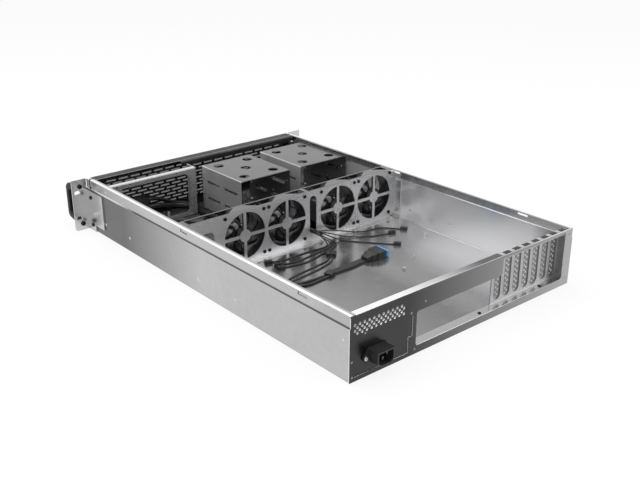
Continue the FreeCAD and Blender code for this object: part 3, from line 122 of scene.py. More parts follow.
# Rivets in the rear panel: place along X, and height
REAR_RIVETS = [(0.1904, 0.0592), (0.1133, 0.0595), (0.1050, 0.0067), (0.2110, 0.0275),
               (0.2104, 0.0066), (0.0888, 0.0682), (-0.2063, 0.0798), (-0.2070, 0.0120)]
LEDGE_SCREWS = (-0.0257, -0.1557)
CAGE_DIMPLES = [(-0.253, 0.061), (-0.253, 0.032), (-0.1925, 0.062), (-0.1925, 0.054),
                (-0.188, 0.034), (-0.1925, 0.025), (-0.1485, 0.0615)]
STANDOFFS = [(-0.065, 0.154), (-0.108, 0.132), (-0.188, 0.081), (0.082, -0.278)]

# Routes of the leads: the control points of their splines, in millimetres
ROUTES_MM = {
    "front_loom": [
        (111, -304.5, 27), (94, -304.5, 27), (77, -305.4, 20), (61, -305.8, 12), (44, -305.2, 7),
        (26.6, -289, 6), (25.9, -267, 4.8), (26.3, -227, 4.8), (25.9, -183, 4.8),
        (27, -139, 4.8), (17, -106, 4.8), (-5, -82, 4.8), (-23, -66, 5.2), (-31, -49, 10),
        (-32.6, -32, 19.2), (-32.6, -14, 19.2)],
    "side_loom": [
        (111, -297, 16), (92, -297, 16), (72, -296.6, 10.5), (52.5, -297, 7.6),
        (35.3, -279.5, 6.2), (35.6, -255, 5.8), (34.9, -211, 5.8), (35.5, -161, 5.8),
        (41, -123, 5.8), (62, -91, 5.8), (94, -71, 5.8), (132, -64, 6.2), (162, -50, 9.5),
        (176, -25, 15.4), (180.5, 1, 14), (184, 29, 7), (182, 51, 5.8), (166, 75, 5.8),
        (147, 87, 5.8), (126, 87, 5.8)],
    "slot_lead_1": [
        (-30.2, -14, 19.2), (-30.2, -5, 19.2), (-34.5, 1, 12.5), (-39.5, 5, 5.5),
        (-36.5, 11, 2.7), (-26, 12.5, 2.3), (-11, 11, 2.3), (8, 9.4, 2.3), (30, 10.4, 2.3),
        (52, 10.8, 2.3), (71, 5, 2.3)],
    "slot_lead_2": [
        (-31.4, -14, 17.1), (-31.4, -6.5, 17.1), (-38.5, -1.5, 10.5), (-46.5, 3, 4.4),
        (-46.5, 12, 2.6), (-36, 18, 2.3), (-14, 20, 2.3), (11, 23.8, 2.3), (30, 27, 2.3),
        (49, 27.4, 2.3), (65, 22, 2.3)],
    "slot_lead_3": [
        (-33.8, -14, 17.1), (-33.8, -8, 17.1), (-42.5, -3.5, 10.8), (-52.5, 1.5, 4.2),
        (-54, 12.5, 2.4), (-45, 21.5, 2.3), (-26, 26.5, 2.3), (-4, 31.5, 2.3), (16, 37, 2.3),
        (35, 39.5, 2.3), (53, 36, 2.3), (69, 33, 2.3)],
    "slot_lead_4": [
        (-33.8, -14, 21.3), (-33.8, -9, 21.3), (-43, -8, 20.5), (-57, -8.5, 17.5),
        (-74, -8, 12.5), (-93, -4.5, 7.5), (-110, 1, 3.2), (-126, 6, 2.3), (-142, 6.5, 2.3),
        (-155, 11, 2.3), (-167, 22, 2.3), (-176, 35.5, 2.3)],
    "slot_lead_5": [
        (-31.4, -14, 21.3), (-31.4, -7.5, 21.3), (-42, -4, 19), (-56, -2.5, 13.5), (-70, 0, 7.8),
        (-84, 5.5, 3.4), (-98, 15.5, 2.3), (-114, 27, 2.3), (-131, 33.5, 2.3),
        (-147, 37.5, 2.3)],
    "slot_lead_6": [
        (-35, -14, 19.2), (-35, -9, 19.2), (-43.5, -5.7, 15.2), (-55, -2, 8.8), (-66, 6.5, 3),
        (-77, 20, 2.3), (-89, 37, 2.3), (-105, 57, 2.3), (-121, 75, 2.3)],
    "side_lead_1": [
        (126, 84.8, 4.6), (117, 84.8, 4.6), (105, 78, 2.9), (90, 69.5, 2.3), (68, 64.8, 2.3),
        (46, 62, 2.3), (27, 59.4, 2.3), (8, 57, 2.3), (-4, 51.5, 2.3), (-11, 42.5, 2.3)],
    "side_lead_2": [
        (126, 84.8, 7), (117, 84.8, 7), (104, 82, 4.2), (87, 78, 2.3), (64, 75.6, 2.3),
        (41, 72.4, 2.3), (21, 68.6, 2.3), (4, 63.4, 2.3), (-8, 56, 2.3), (-17, 47.5, 2.3)],
    "thick_lead_1": [
        (126, 89.2, 4.05), (117, 89.2, 4.05), (105, 95, 3.2), (91, 101.6, 3), (74, 104.6, 3),
        (57, 101.6, 3), (40, 101.6, 3)],
    "thick_lead_2": [
        (126, 89.2, 7.55), (116, 89.2, 7.55), (101, 91.4, 4.6), (83, 94, 3), (62, 95.8, 3),
        (42, 95.8, 3)],
    "usb_cable": [
        (26, 94, 2.8), (12, 94, 2.8), (-9, 94.6, 2.8), (-30, 91.6, 2.8), (-47, 91.6, 2.8)],
    "power_lead": [
        (170.2, 323, 26), (170.2, 301, 26), (172, 275, 20.5), (178, 247, 10), (186, 217, 5),
        (193, 179, 4.8), (196, 135, 4.8), (195.4, 89, 4.8), (197, 49, 4.8), (195, 15, 8),
        (193, -15, 14.6), (190, -45, 11), (188, -73, 5.2), (188.4, -109, 4.8), (184, -151, 4.8),
        (181, -189, 4.8), (176, -215, 4.8), (161, -234, 4.8), (140, -243.4, 5.2), (118, -241, 7),
        (100.4, -228.6, 9.7), (88, -213, 9.7)],
}
ROUTES = {name: [tuple(value / 1000 for value in spot) for spot in route]
          for name, route in ROUTES_MM.items()}

# Lead, diameter, what is on its far end
LEADS = {
    "front_loom": (0.007, "fitting"),
    "side_loom": (0.009, "fitting"),
    "thick_lead_1": (0.0034, "connector"),
    "thick_lead_2": (0.0034, "connector"),
    "power_lead": (0.007, "plug"),
}
for lead in ["slot_lead_%d" % n for n in range(1, 7)] + ["side_lead_1", "side_lead_2"]:
    LEADS[lead] = (THIN_LEAD, "connector")


class Value:
    """Output socket of a material's node. Arithmetic on it adds Math nodes."""

    def __init__(self, shader, socket):
        self.shader = shader
        self.socket = socket

    def math(self, operation, *others, clamp=False):
        settings = {"operation": operation, "use_clamp": clamp}
        return self.shader.add("ShaderNodeMath", settings, dict(enumerate((self,) + others)))

    def __add__(self, other):
        return self.math("ADD", other)

    def __sub__(self, other):
        return self.math("SUBTRACT", other)

    def __mul__(self, other):
        return self.math("MULTIPLY", other)

    def __rsub__(self, other):
        return self.math("MULTIPLY", -1.0).math("ADD", other)

    __radd__ = __add__
    __rmul__ = __mul__

    def above(self, level):
        return self.math("GREATER_THAN", level)

    def below(self, level):
        return self.math("LESS_THAN", level)

    def size(self):
        return self.math("ABSOLUTE")

    def spread(self, low, high, to_low=0.0, to_high=1.0):
        """Carries low..high to to_low..to_high, held at both ends."""
        return self.shader.add("ShaderNodeMapRange", {"clamp": True},
                               {"Value": self, "From Min": low, "From Max": high,
                                "To Min": to_low, "To Max": to_high})

    def part(self, name):
        return Value(self.shader, self.socket.node.outputs[name])


class Shader:
    """Procedural material built from object-space patterns."""

    def __init__(self, owner):
        owner.use_nodes = True
        self.material = owner
        self.nodes = owner.node_tree.nodes
        self.links = owner.node_tree.links
        self.nodes.clear()

    @classmethod
    def named(cls, name):
        """New material with its object-space place ready."""
        shader = cls(bpy.data.materials.new(name))
        shader.place = shader.add("ShaderNodeTexCoord", out="Object")
        shader.across = shader.add("ShaderNodeSeparateXYZ", None, {0: shader.place}, "X")
        return shader

    def add(self, kind, settings=None, inputs=None, out=0):
        """Any node: its settings first, then values or links of its sockets."""
        node = self.nodes.new(kind)
        for key, value in (settings or {}).items():
            setattr(node, key, value)
        for key, value in (inputs or {}).items():
            if isinstance(value, Value):
                self.links.new(value.socket, node.inputs[key])
            else:
                node.inputs[key].default_value = value
        return None if out is None else Value(self, node.outputs[out])

    def axes(self):
        return self.across, self.across.part("Y"), self.across.part("Z")

    def stretched(self, scale):
        return self.add("ShaderNodeMapping", None, {"Vector": self.place, "Scale": scale})

    def noise(self, scale, detail=2.0, rough=0.5, place=None):
        """Cloudy noise between about 0.3 and 0.7."""
        return self.add("ShaderNodeTexNoise", None,
                        {"Vector": place or self.place, "Scale": scale, "Detail": detail,
                         "Roughness": rough}, "Fac")

    def cells(self, scale, feature="F1", out="Color"):
        """Cells with a random colour each, or the distance to their edges."""
        return self.add("ShaderNodeTexVoronoi", {"feature": feature},
                        {"Vector": self.place, "Scale": scale}, out)

    def grey(self, colour):
        return self.add("ShaderNodeSeparateColor", None, {0: colour}, 0)

    def mix(self, share, first, second):
        """Blend of two colours by a share. A number stands for a grey."""
        pair = [(c,) * 3 if isinstance(c, float) else c for c in (first, second)]
        pair = [c if isinstance(c, Value) else (*c, 1.0) for c in pair]
        return self.add("ShaderNodeMix", {"data_type": "RGBA"},
                        {0: share, 6: pair[0], 7: pair[1]}, 2)

    def bump(self, height, distance, strength=1.0, normal=None):
        inputs = {"Height": height, "Distance": distance, "Strength": strength}
        if normal is not None:
            inputs["Normal"] = normal
        return self.add("ShaderNodeBump", None, inputs)

    def seen(self):
        """One for the rays that show the surroundings, straight, mirrored or through glass."""
        rays = self.add("ShaderNodeLightPath", None, None, "Is Camera Ray")
        shown = rays + rays.part("Is Glossy Ray") + rays.part("Is Transmission Ray")
        return shown.math("MINIMUM", 1.0)

    def finish(self, **sockets):
        """Closes the material with one Principled shader."""
        inputs = {}
        for key, value in sockets.items():
            title = key.replace("_", " ").title().replace("Ior", "IOR")
            inputs[title] = (*value, 1.0) if isinstance(value, tuple) else value
        surface = self.add("ShaderNodeBsdfPrincipled", None, inputs)
        self.add("ShaderNodeOutputMaterial", None, {"Surface": surface}, None)
        return self.material


def scaled(colour, factor):
    return tuple(min(1.0, channel * factor) for channel in colour)


def sheet_metal(name, colour, rough, marks=None, metal=1.0, **spots):
    """Zinc-coated sheet: faint crystal cells, rolling lines, handling smudges and fine scratches.

    marks adds what belongs to one piece, such as a painted highlight on a fold, to the base colour
    and to the share of metal. A chalky coat has metal under 1.
    """
    shader = Shader.named(name)
    crystal = shader.grey(shader.cells(150.0))
    fine = shader.noise(1.0, 3.0, 0.6, shader.stretched((2600.0, 30.0, 900.0)))
    smudge = shader.noise(7.0, 4.0, 0.62)
    scratch = shader.noise(1.0, 2.0, 0.7, shader.stretched((60.0, 1500.0, 60.0))).above(0.74)
    warp = shader.noise(5.0, 1.0)
    tone = crystal * 0.08 + fine * 0.16 + smudge * 0.45
    base = shader.mix(tone.spread(0.2, 0.55), scaled(colour, 0.92), scaled(colour, 1.08))
    base = shader.mix(scratch * 0.2, base, scaled(colour, 1.4))
    roughness = smudge.spread(0.3, 0.7, rough - 0.05, rough + 0.06) + crystal * 0.02
    if marks is not None:
        base, metal = marks(shader, base, metal, **spots)
    normal = shader.bump(warp, 0.006, 0.10)
    normal = shader.bump(fine * 0.5 + crystal * 0.2, 0.00005, 0.5, normal)
    return shader.finish(base_color=base, metallic=metal, roughness=roughness, normal=normal)


def tub_marks(shader, base, metal):
    """Painted highlights on the rims, painted shade where the floor meets the walls, scuffs on the
    floor, a painted shadow line at the joggle and slow painted sheens.

    The walls' upper part is darker towards the front, a painted reflection. Painted shade also
    darkens the walls' rear ends inside and the outer walls towards the front.
    """
    aside, along, height = shader.axes()
    outward = aside.size()
    inside = outward.below(WALL_INSIDE) * height.above(UNDERSIDE)
    wall = inside * outward.above(WALL_SKIN)
    # Painted sheen: the floor lighter towards -X and the inner walls light, standing in for
    # reflections
    painted_sheen = shader.mix(aside.spread(-0.02, -0.17), 0.13, (0.74, 0.74, 0.75))
    painted_sheen = shader.mix(aside.spread(0.0, 0.10) * 0.5, painted_sheen, 0.34)
    painted_sheen = shader.mix(wall, painted_sheen, (0.88, 0.88, 0.89))
    base = shader.mix(inside * 0.85, base, painted_sheen)
    # Painted shade: the side walls darker inside towards their rear ends
    end = wall * along.spread(0.27, 0.30)
    base = shader.mix(end * 0.7, base, 0.2)
    scuff = shader.noise(45.0, 5.0, 0.75).spread(0.57, 0.66) * height.below(FLOOR_TOP) * inside
    base = shader.mix(scuff * 0.07, base, (0.85, 0.85, 0.86))
    # Painted shade where the floor meets the side walls
    corner_shade = height.spread(0.0012, 0.0028, 1.0, 0.0) * outward.spread(0.2110, 0.2128)
    base = shader.mix(corner_shade * 0.4, base, 0.2)
    # Painted shade: the outer walls darker towards the front
    reach = along.spread(-0.19, 0.03, 0.9, 0.0) * outward.above(WALL_INSIDE)
    base = shader.mix(reach, base, 0.10)
    # Painted reflection: the strip above the joggle darker towards the front
    upper = height.above(UPPER_WALL) * outward.above(0.2131)
    tone = shader.mix(along.spread(-0.29, -0.10), (0.27, 0.27, 0.275), (0.47, 0.47, 0.475))
    base = shader.mix(upper * 0.9, base, tone)
    # Painted shadow line at the joggle, pale towards the front as a painted highlight
    line = (height - JOGGLE_LINE).size().below(0.0010) * outward.above(0.2133)
    ends = shader.mix(along.spread(-0.21, -0.15), 0.7, 0.05)
    base = shader.mix(line * 0.9, base, ends)
    # Painted highlight on the rim's top, brighter on its flat than on its outer bend
    rim_highlight = shader.mix(outward.above(0.2088), (0.42, 0.42, 0.43), (0.93, 0.93, 0.94))
    metal = metal - (wall * 0.25 + inside * 0.15)
    return shader.mix(height.above(RIM_TOP), base, rim_highlight), metal


def rear_marks(shader, base, metal):
    """Painted highlights on the cut edges, a painted sheen growing away from the inlet, and a lip
    with a painted reflection at one end.

    Over the slot covers the lip has a dark patch for each, at their pitch.
    """
    aside, along, height = shader.axes()
    # Painted sheen: lighter away from the inlet
    painted_sheen = aside.spread(0.12, -0.20)
    base = shader.mix(painted_sheen * 0.8, base, (0.48, 0.48, 0.485))
    # Painted highlight on the cut edges below the lip
    edge = along.above(REAR_FACE - 0.00115) * along.below(REAR_FACE - 0.00008)
    edge = edge * height.below(0.0860)
    base = shader.mix(edge, base, (0.9, 0.9, 0.91))
    # Painted reflection: the lip bright at one end, dark at the other
    lip = shader.mix(aside.spread(-0.02, 0.13), 0.10, (0.93, 0.93, 0.94))
    place = (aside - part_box("slot_cover_1")[0].x) * (1 / SLOT_PITCH)
    covered = (aside + 0.1295).size().below(0.0715) * along.above(REAR_FACE - 0.0115)
    gap = place.math("FRACT").spread(0.62, 0.66)
    tabs = shader.mix(gap, 0.015, 0.5)
    lip = shader.mix(covered * along.below(REAR_FACE - 0.0012), lip, tabs)
    return shader.mix(height.above(0.0875), base, lip), metal - edge * 0.8


def fan_wall_marks(shader, base, metal):
    """Lip that faces up, darkened as painted shade, on a wall with a painted sheen growing towards
    one end.
    """
    aside, _, height = shader.axes()
    # Painted sheen: the wall lighter towards -X
    base = shader.mix(aside.spread(-0.02, -0.20) * 0.6, base, 0.8)
    # Painted shade: the upward lip darker
    return shader.mix(height.above(0.0863) * 0.85, base, 0.09), metal


def bracket_marks(shader, base, metal):
    """Top fold painted bright: a painted highlight."""
    # Painted highlight on the top fold
    return shader.mix(shader.axes()[2].above(0.0862), base, (0.66, 0.66, 0.67)), metal


def cage_marks(shader, base, metal, middle=0.0):
    """Top darkened as painted shade, sides with a painted sheen towards the front, and painted shade
    on the openings' cut edges and on the inside behind the openings.
    """
    aside, along, height = shader.axes()
    # Painted sheen on the sides near the front end
    base = shader.mix(along.spread(-0.254, -0.232, 0.0, 0.5), base, (0.28, 0.28, 0.285))
    # Painted shade: the top darker
    base = shader.mix(height.above(0.0829), base, (0.122, 0.122, 0.125))
    outward = (aside - middle).size()
    # Painted shade on the openings' cut edges
    cut = outward.above(0.05034) * outward.below(0.05142) * height.below(0.0815)
    base = shader.mix(cut, base, 0.01)
    inside = outward.below(0.05035) * height.below(0.08185)
    return shader.mix(inside * 0.75, base, 0.03), metal


def powder_coat(name, colour, rough, gloss=0.4, lip=False):
    """Baked powder: orange-peel bumps under a millimetre across and faint dust.

    With a lip, its upward face has lengthwise bands and pale lines along both edges; the pale lines
    are painted highlights.
    """
    shader = Shader.named(name)
    peel = shader.noise(1500.0, 2.0)
    dust = shader.noise(40.0, 5.0, 0.7)
    base = shader.mix(dust.spread(0.45, 0.75), colour, scaled(colour, 1.9))
    if lip:
        _, along, height = shader.axes()
        bands = shader.noise(1.0, 2.0, 0.6, shader.stretched((6.0, 420.0, 6.0)))
        # Painted highlights: pale lines along the lip's front and rear edges
        edges = along.below(-0.3106) + (along + 0.2930).size().below(0.0007)
        tones = shader.mix(bands.spread(0.40, 0.62), 0.004, 0.07)
        tones = shader.mix(edges.math("MINIMUM", 1.0), tones, 0.32)
        base = shader.mix(height.above(0.0870), base, tones)
    return shader.finish(base_color=base, specular_ior_level=gloss,
                         roughness=dust.spread(0.3, 0.7, rough - 0.06, rough + 0.08),
                         normal=shader.bump(peel, 0.00012, 0.55))


def moulded(name, colour, rough, grain=1200.0, depth=0.00005, gloss=0.5):
    """Moulded plastic: spark-eroded grain and a slow change of gloss."""
    shader = Shader.named(name)
    fine = shader.noise(grain, 2.0, 0.6)
    slow = shader.noise(60.0, 3.0)
    base = shader.mix(slow.spread(0.35, 0.7), scaled(colour, 0.9), scaled(colour, 1.25))
    return shader.finish(base_color=base, specular_ior_level=gloss,
                         roughness=slow.spread(0.3, 0.7, rough - 0.05, rough + 0.07),
                         normal=shader.bump(fine, depth, 0.5))


def plated(name, colour, rough):
    """Plated fasteners and pins: bright metal with turning marks and slight tarnish."""
    shader = Shader.named(name)
    tarnish = shader.noise(500.0, 3.0)
    base = shader.mix(tarnish.spread(0.35, 0.7), colour, scaled(colour, 0.75))
    return shader.finish(base_color=base, metallic=1.0,
                         roughness=tarnish.spread(0.3, 0.7, rough - 0.05, rough + 0.1),
                         normal=shader.bump(tarnish, 0.00003, 0.5))


def circuit_board(name):
    """Green board: lacquered tracks as edges of cells, with a woven glass base."""
    shader = Shader.named(name)
    track = shader.cells(260.0, "DISTANCE_TO_EDGE", "Distance").below(0.05)
    weave = shader.noise(2200.0, 1.0)
    base = shader.mix(track, (0.018, 0.10, 0.045), (0.035, 0.17, 0.075))
    return shader.finish(base_color=base, roughness=0.35, coat_weight=0.4,
                         normal=shader.bump(track * 0.6 + weave * 0.2, 0.00008, 0.6))


def dust_screen(name):
    """Black woven screen of fine thread, which lets through a third of what is behind it."""
    shader = Shader.named(name)
    thread = shader.cells(2400.0, "F1", "Distance").spread(0.2, 0.7, 0.36, 0.74)
    return shader.finish(base_color=(0.02, 0.02, 0.02), roughness=0.6, alpha=thread)


def clear_lens(name):
    shader = Shader.named(name)
    haze = shader.noise(900.0)
    base = shader.mix(haze, (0.78, 0.84, 0.84), (0.9, 0.95, 0.95))
    return shader.finish(base_color=base, coat_weight=0.5,
                         roughness=haze.spread(0.3, 0.7, 0.1, 0.25))


def make_finishes(looks):
    """Every finish of the case by the name of its slot in the record."""
    zinc, rough, coat = tuple(looks.zinc), looks.zinc_roughness, tuple(looks.coat)
    plastic, jacket = tuple(looks.plastic), tuple(looks.jacket)
    finishes = {}
    # Each share scales the zinc for one piece: lighter and darker copies of one sheet, as painted
    # light and shade
    for name, share, rougher, marks, metal in (
            ("zinc_sheet", 1.0, 0.0, tub_marks, 1.0),
            ("zinc_cover", 0.40, 0.1, None, 1.0),
            ("zinc_ear", 1.1, 0.02, None, 1.0),
            ("zinc_bracket", 0.72, 0.05, bracket_marks, 0.5),
            ("zinc_pan", 0.80, 0.06, None, 1.0),
            ("zinc_lip", 1.15, 0.08, fan_wall_marks, 0.85)):
        finishes[name] = sheet_metal(name, scaled(zinc, share), rough + rougher, marks, metal)
    # The rear sheet is the zinc sheet given a dark colour as painted shade, with painted light from
    # rear_marks over it
    name = "rear_sheet"
    finishes[name] = sheet_metal(name, tuple(looks.rear), looks.rear_roughness, rear_marks)
    for name, share, gritty, lip in (("black_panel", 0.7, 0.46, True),
                                     ("black_handle", 0.4, 0.40, False)):
        finishes[name] = powder_coat(name, scaled(coat, share), gritty, gloss=0.15, lip=lip)
    for name, colour, *surface in (
            ("fan_plastic", plastic, 0.42),
            ("rotor_plastic", plastic, 0.17, 300.0, 0.00001, 0.7),
            ("black_plastic", plastic, 0.46),
            ("blue_plastic", tuple(looks.blue), 0.38),
            ("lead_jacket", jacket, 0.36, 700.0, 0.00003)):
        finishes[name] = moulded(name, colour, *surface)
    # The pins' metal and the rear panel's rivets are darkened, as painted shade: the pins sit in the
    # inlet's mouth, the rivets on the shaded rear panel
    for name, colour, smooth in (
            ("pin_metal", (0.28, 0.28, 0.27), 0.32),
            ("screw_metal", (0.68, 0.68, 0.69), 0.26),
            ("rivet_metal", (0.72, 0.72, 0.73), 0.22),
            ("shaded_rivet", (0.30, 0.30, 0.31), 0.36),
            ("black_screw", (0.035, 0.035, 0.037), 0.34)):
        finishes[name] = plated(name, colour, smooth)
    for name, make in (("screen", dust_screen), ("board", circuit_board), ("lens", clear_lens)):
        finishes[name] = make(name)
    # The cages get a lighter copy of the zinc, as painted light
    for side, middle in CAGE_MIDDLES.items():
        name = "zinc_cage_" + side
        finishes[name] = sheet_metal(name, scaled(zinc, 1.3), rough, cage_marks, 0.5, middle=middle)
    return finishes


def placed(name, data):
    """New object of a mesh, curve, lamp or camera, linked to the scene."""
    item = bpy.data.objects.new(name, data)
    bpy.context.scene.collection.objects.link(item)
    return item


def grid_faces(rows, columns, first):
    """Quads between neighbouring rows of a grid of points whose rows are rings, as one array."""
    r = np.arange(rows - 1)[:, None]
    c = np.arange(columns)[None, :]
    n = (c + 1) % columns
    low, high = r * columns, (r + 1) * columns
    quads = np.stack([low + c, low + n, high + n, high + c], -1)
    return (first + quads.reshape(-1, 4)).tolist()


def make_piece(name, grids, slot, body="case", material=None, sharp_deg=40.0):
    """Mesh of several closed shells, each a grid whose rows are rings and whose ends are capped."""
    points, faces, first = [], [], 0
    for grid in grids:
        rows, columns = grid.shape[:2]
        points.append(grid.reshape(-1, 3))
        faces += grid_faces(rows, columns, first)
        faces.append(list(range(first + columns - 1, first - 1, -1)))
        last = first + (rows - 1) * columns
        faces.append(list(range(last, last + columns)))
        first += rows * columns
    mesh = bpy.data.meshes.new(name)
    mesh.from_pydata(np.concatenate(points).tolist(), [], faces)
    work = bmesh.new()
    work.from_mesh(mesh)
    bmesh.ops.remove_doubles(work, verts=work.verts, dist=1e-7)
    bmesh.ops.dissolve_degenerate(work, dist=1e-7, edges=work.edges)
    bmesh.ops.recalc_face_normals(work, faces=work.faces)
    limit = math.radians(sharp_deg)
    for face in work.faces:
        face.smooth = True
    for edge in work.edges:
        edge.smooth = edge.calc_face_angle(0.0) < limit
    work.to_mesh(mesh)
    work.free()
    mesh.validate()
    piece = placed(name, mesh)
    mesh.materials.append(FINISHES[material or slot])
    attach(piece, body)
    return piece


def frame_of(axis):
    """Two unit vectors square to an axis and to each other, and the axis itself."""
    axis = np.asarray(axis, float) / np.linalg.norm(axis)
    helper = np.array([0.0, 0.0, 1.0]) if abs(axis[2]) < 0.9 else np.array([0.0, 1.0, 0.0])
    side = np.cross(helper, axis)
    side /= np.linalg.norm(side)
    return side, np.cross(axis, side), axis


def circle(steps):
    return np.linspace(0, 2 * np.pi, steps, endpoint=False)


def round_corners(steps):
    """Angles of four quarter circles in turn, and the signs of the corner each belongs to."""
    quarter = np.linspace(0, np.pi / 2, steps + 1)
    angle = np.concatenate([quarter + q * np.pi / 2 for q in range(4)])[None, :]
    sign_x = np.repeat([1, -1, -1, 1], steps + 1)[None, :]
    sign_y = np.repeat([1, 1, -1, -1], steps + 1)[None, :]
    return angle, sign_x, sign_y


def carried(spot, x, y, z, side, up, axis):
    """Point = spot + x side + y up + z axis."""
    x, y, z = (value[..., None] for value in np.broadcast_arrays(x, y, z))
    return np.asarray(spot, float) + x * side + y * up + z * axis


def turned(profile, spot, axis, steps=24):
    """Surface of revolution: each (radius, height) of the profile goes round the axis at spot.

    Point = spot + radius (cos a * side + sin a * up) + height * axis.
    """
    side, up, axis = frame_of(axis)
    radius, height = np.asarray(profile, float).T[:, :, None]
    angle = circle(steps)[None, :]
    return carried(spot, radius * np.cos(angle), radius * np.sin(angle), height, side, up, axis)


def cross_screw(spot, axis, head, tall, turn=0.0, rings=10, steps=32):
    """Pan head with a cross recess, standing on spot along axis.

    Height = tall (1 - 0.45 (r/R)^3) less a recess, where the recess is where the nearer
    of the two arms is under its half width and the radius under its reach; the last rings
    are the head's side and go a little under its seat.
    """
    side, up, axis = frame_of(axis)
    angle = circle(steps)[None, :]
    radius = np.linspace(0.0, 1.0, rings)[:, None] * head / 2
    x, y = radius * np.cos(angle), radius * np.sin(angle)
    near, far = np.minimum(abs(x), abs(y)), np.maximum(abs(x), abs(y))
    arm = np.clip((head * 0.085 - near) / (head * 0.02) + 0.5, 0, 1)
    reach = np.clip((head * 0.29 - far) / (head * 0.05) + 0.5, 0, 1)
    height = tall * (1 - 0.45 * (radius / (head / 2)) ** 3) - 0.6 * tall * arm * reach
    skirt = np.array([[0.3], [-0.1]]) * tall
    x = np.concatenate([x, x[-1:], x[-1:]])
    y = np.concatenate([y, y[-1:], y[-1:]])
    height = np.concatenate([height, skirt + 0 * angle])
    c, s = math.cos(turn), math.sin(turn)
    x, y = c * x - s * y, s * x + c * y
    return carried(spot, x, y, height, side, up, axis)


def rounded_block(centre, size, radius, heading=0.0, steps=3):
    """Block with round edges: each corner is an eighth of a sphere of the edge's radius.

    Point = centre + sign * (half size - radius) + radius * outward normal, on a grid of
    longitudes and latitudes; heading turns it about the vertical.
    """
    longitude, sign_x, sign_y = round_corners(steps)
    quarter = np.linspace(0, np.pi / 2, steps + 1)
    latitude = np.concatenate([quarter - np.pi / 2, quarter])[:, None]
    sign_z = np.repeat([-1, 1], steps + 1)[:, None]
    half = np.asarray(size, float) / 2 - radius
    x = sign_x * half[0] + radius * np.cos(latitude) * np.cos(longitude)
    y = sign_y * half[1] + radius * np.cos(latitude) * np.sin(longitude)
    z = sign_z * half[2] + radius * np.sin(latitude) + 0 * longitude
    c, s = math.cos(heading), math.sin(heading)
    return np.asarray(centre, float) + np.stack([c * x - s * y, s * x + c * y, z], -1)


def tapered(stations, start, along, up=(0.0, 0.0, 1.0), steps=4):
    """Rounded rectangle carried along a straight line.

    Each station is (distance, width, height, corner radius, lift) in millimetres; a ring is
    four quarter circles of the corner radius round the corners of the inner rectangle.
    """
    along = np.asarray(along, float) / np.linalg.norm(along)
    side = np.cross(up, along)
    side /= np.linalg.norm(side)
    up = np.cross(along, side)
    angle, sign_x, sign_y = round_corners(steps)
    distance, width, height, radius, lift = np.asarray(stations, float).T[:, :, None] / 1000
    x = sign_x * (width / 2 - radius) + radius * np.cos(angle)
    y = sign_y * (height / 2 - radius) + radius * np.sin(angle) + lift
    return carried(start, x, y, distance, side, up, along)


def swept(line, ring, factors=None):
    """Closed profile carried along a line that bends freely.

    Each ring of (across, above) pairs stands square to the line's direction there, with
    across kept level, and is scaled by its own factor.
    """
    line = np.asarray(line, float)
    factors = np.ones(len(line)) if factors is None else np.asarray(factors, float)
    along = np.gradient(line, axis=0)
    along /= np.linalg.norm(along, axis=1)[:, None]
    side = np.cross([0.0, 0.0, 1.0], along)
    side /= np.linalg.norm(side, axis=1)[:, None]
    up = np.cross(along, side)
    ring = np.asarray(ring, float)[None] * factors[:, None, None]
    return line[:, None] + ring[:, :, :1] * side[:, None] + ring[:, :, 1:] * up[:, None]


def rotor_blades(hub, tip, count, middle):
    """Fan blades: an arched section carried from the hub to the tip.

    At span s the section's chord is c(s), its pitch p(s) falls from the hub to the tip and
    it leads by sweep * s^1.5 round the axis. A point at chord t in -1..1 lies at angle
    lead + (t c/2 cos p - arch sin p) / r round the axis and at t c/2 sin p + arch cos p
    along it, where arch = bow (1 - t^2) plus half the section's thickness.
    """
    span = np.linspace(0, 1, 9)[:, None]
    loop = circle(26)[None, :]
    radius = hub + (tip - hub) * span
    chord = 0.018 + 0.010 * span - 0.012 * np.clip(span - 0.86, 0, 1) / 0.14
    pitch = np.radians(50 - 18 * span)
    lead = 0.5 * span ** 1.5
    t = np.cos(loop)
    arch = 0.0026 * (1 - t ** 2) + 0.0006 * np.sin(loop) * (1 + 0.3 * t)
    round_axis = lead + (t * chord / 2 * np.cos(pitch) - arch * np.sin(pitch)) / radius
    axial = t * chord / 2 * np.sin(pitch) + arch * np.cos(pitch)
    blades = []
    for number in range(count):
        angle = round_axis + 2 * np.pi * number / count
        blades.append(np.stack([middle[0] + radius * np.sin(angle), middle[1] + axial,
                                middle[2] + radius * np.cos(angle)], -1))
    return blades


def lead_curve(name, diameter):
    """Round lead: one open spline through the route's control points, with a bevel."""
    curve = bpy.data.curves.new(name, "CURVE")
    curve.dimensions = "3D"
    curve.resolution_u = 10
    spline = curve.splines.new("NURBS")
    route = ROUTES[name]
    spline.points.add(len(route) - 1)
    for point, place in zip(spline.points, route):
        point.co = (*place, 1.0)
    spline.order_u = 3
    spline.use_endpoint_u = True
    curve.bevel_depth = diameter / 2
    curve.bevel_resolution = 5
    curve.use_fill_caps = True
    return placed(name + "_jacket" if diameter else name + "_line", curve)


def spline_line(name):
    """Points along a lead's own spline, read from it with no bevel."""
    line = lead_curve(name, 0.0)
    mesh = bpy.data.meshes.new_from_object(line)
    points = np.empty(len(mesh.vertices) * 3)
    mesh.vertices.foreach_get("co", points)
    bpy.data.meshes.remove(mesh)
    bpy.data.objects.remove(line)
    return points.reshape(-1, 3)


def length_of(points):
    return float(np.linalg.norm(np.diff(np.asarray(points), axis=0), axis=1).sum())


def colour_setting(name, description, default):
    return FloatVectorProperty(name=name, description=description, default=default,
                               subtype="COLOR", size=3, min=0, max=1)


def share_setting(name, description, default):
    return FloatProperty(name=name, description=description, default=default,
                         subtype="FACTOR", min=0, max=1)


def length_setting(name, description, default):
    return FloatProperty(name=name, description=description, default=default, unit="LENGTH")


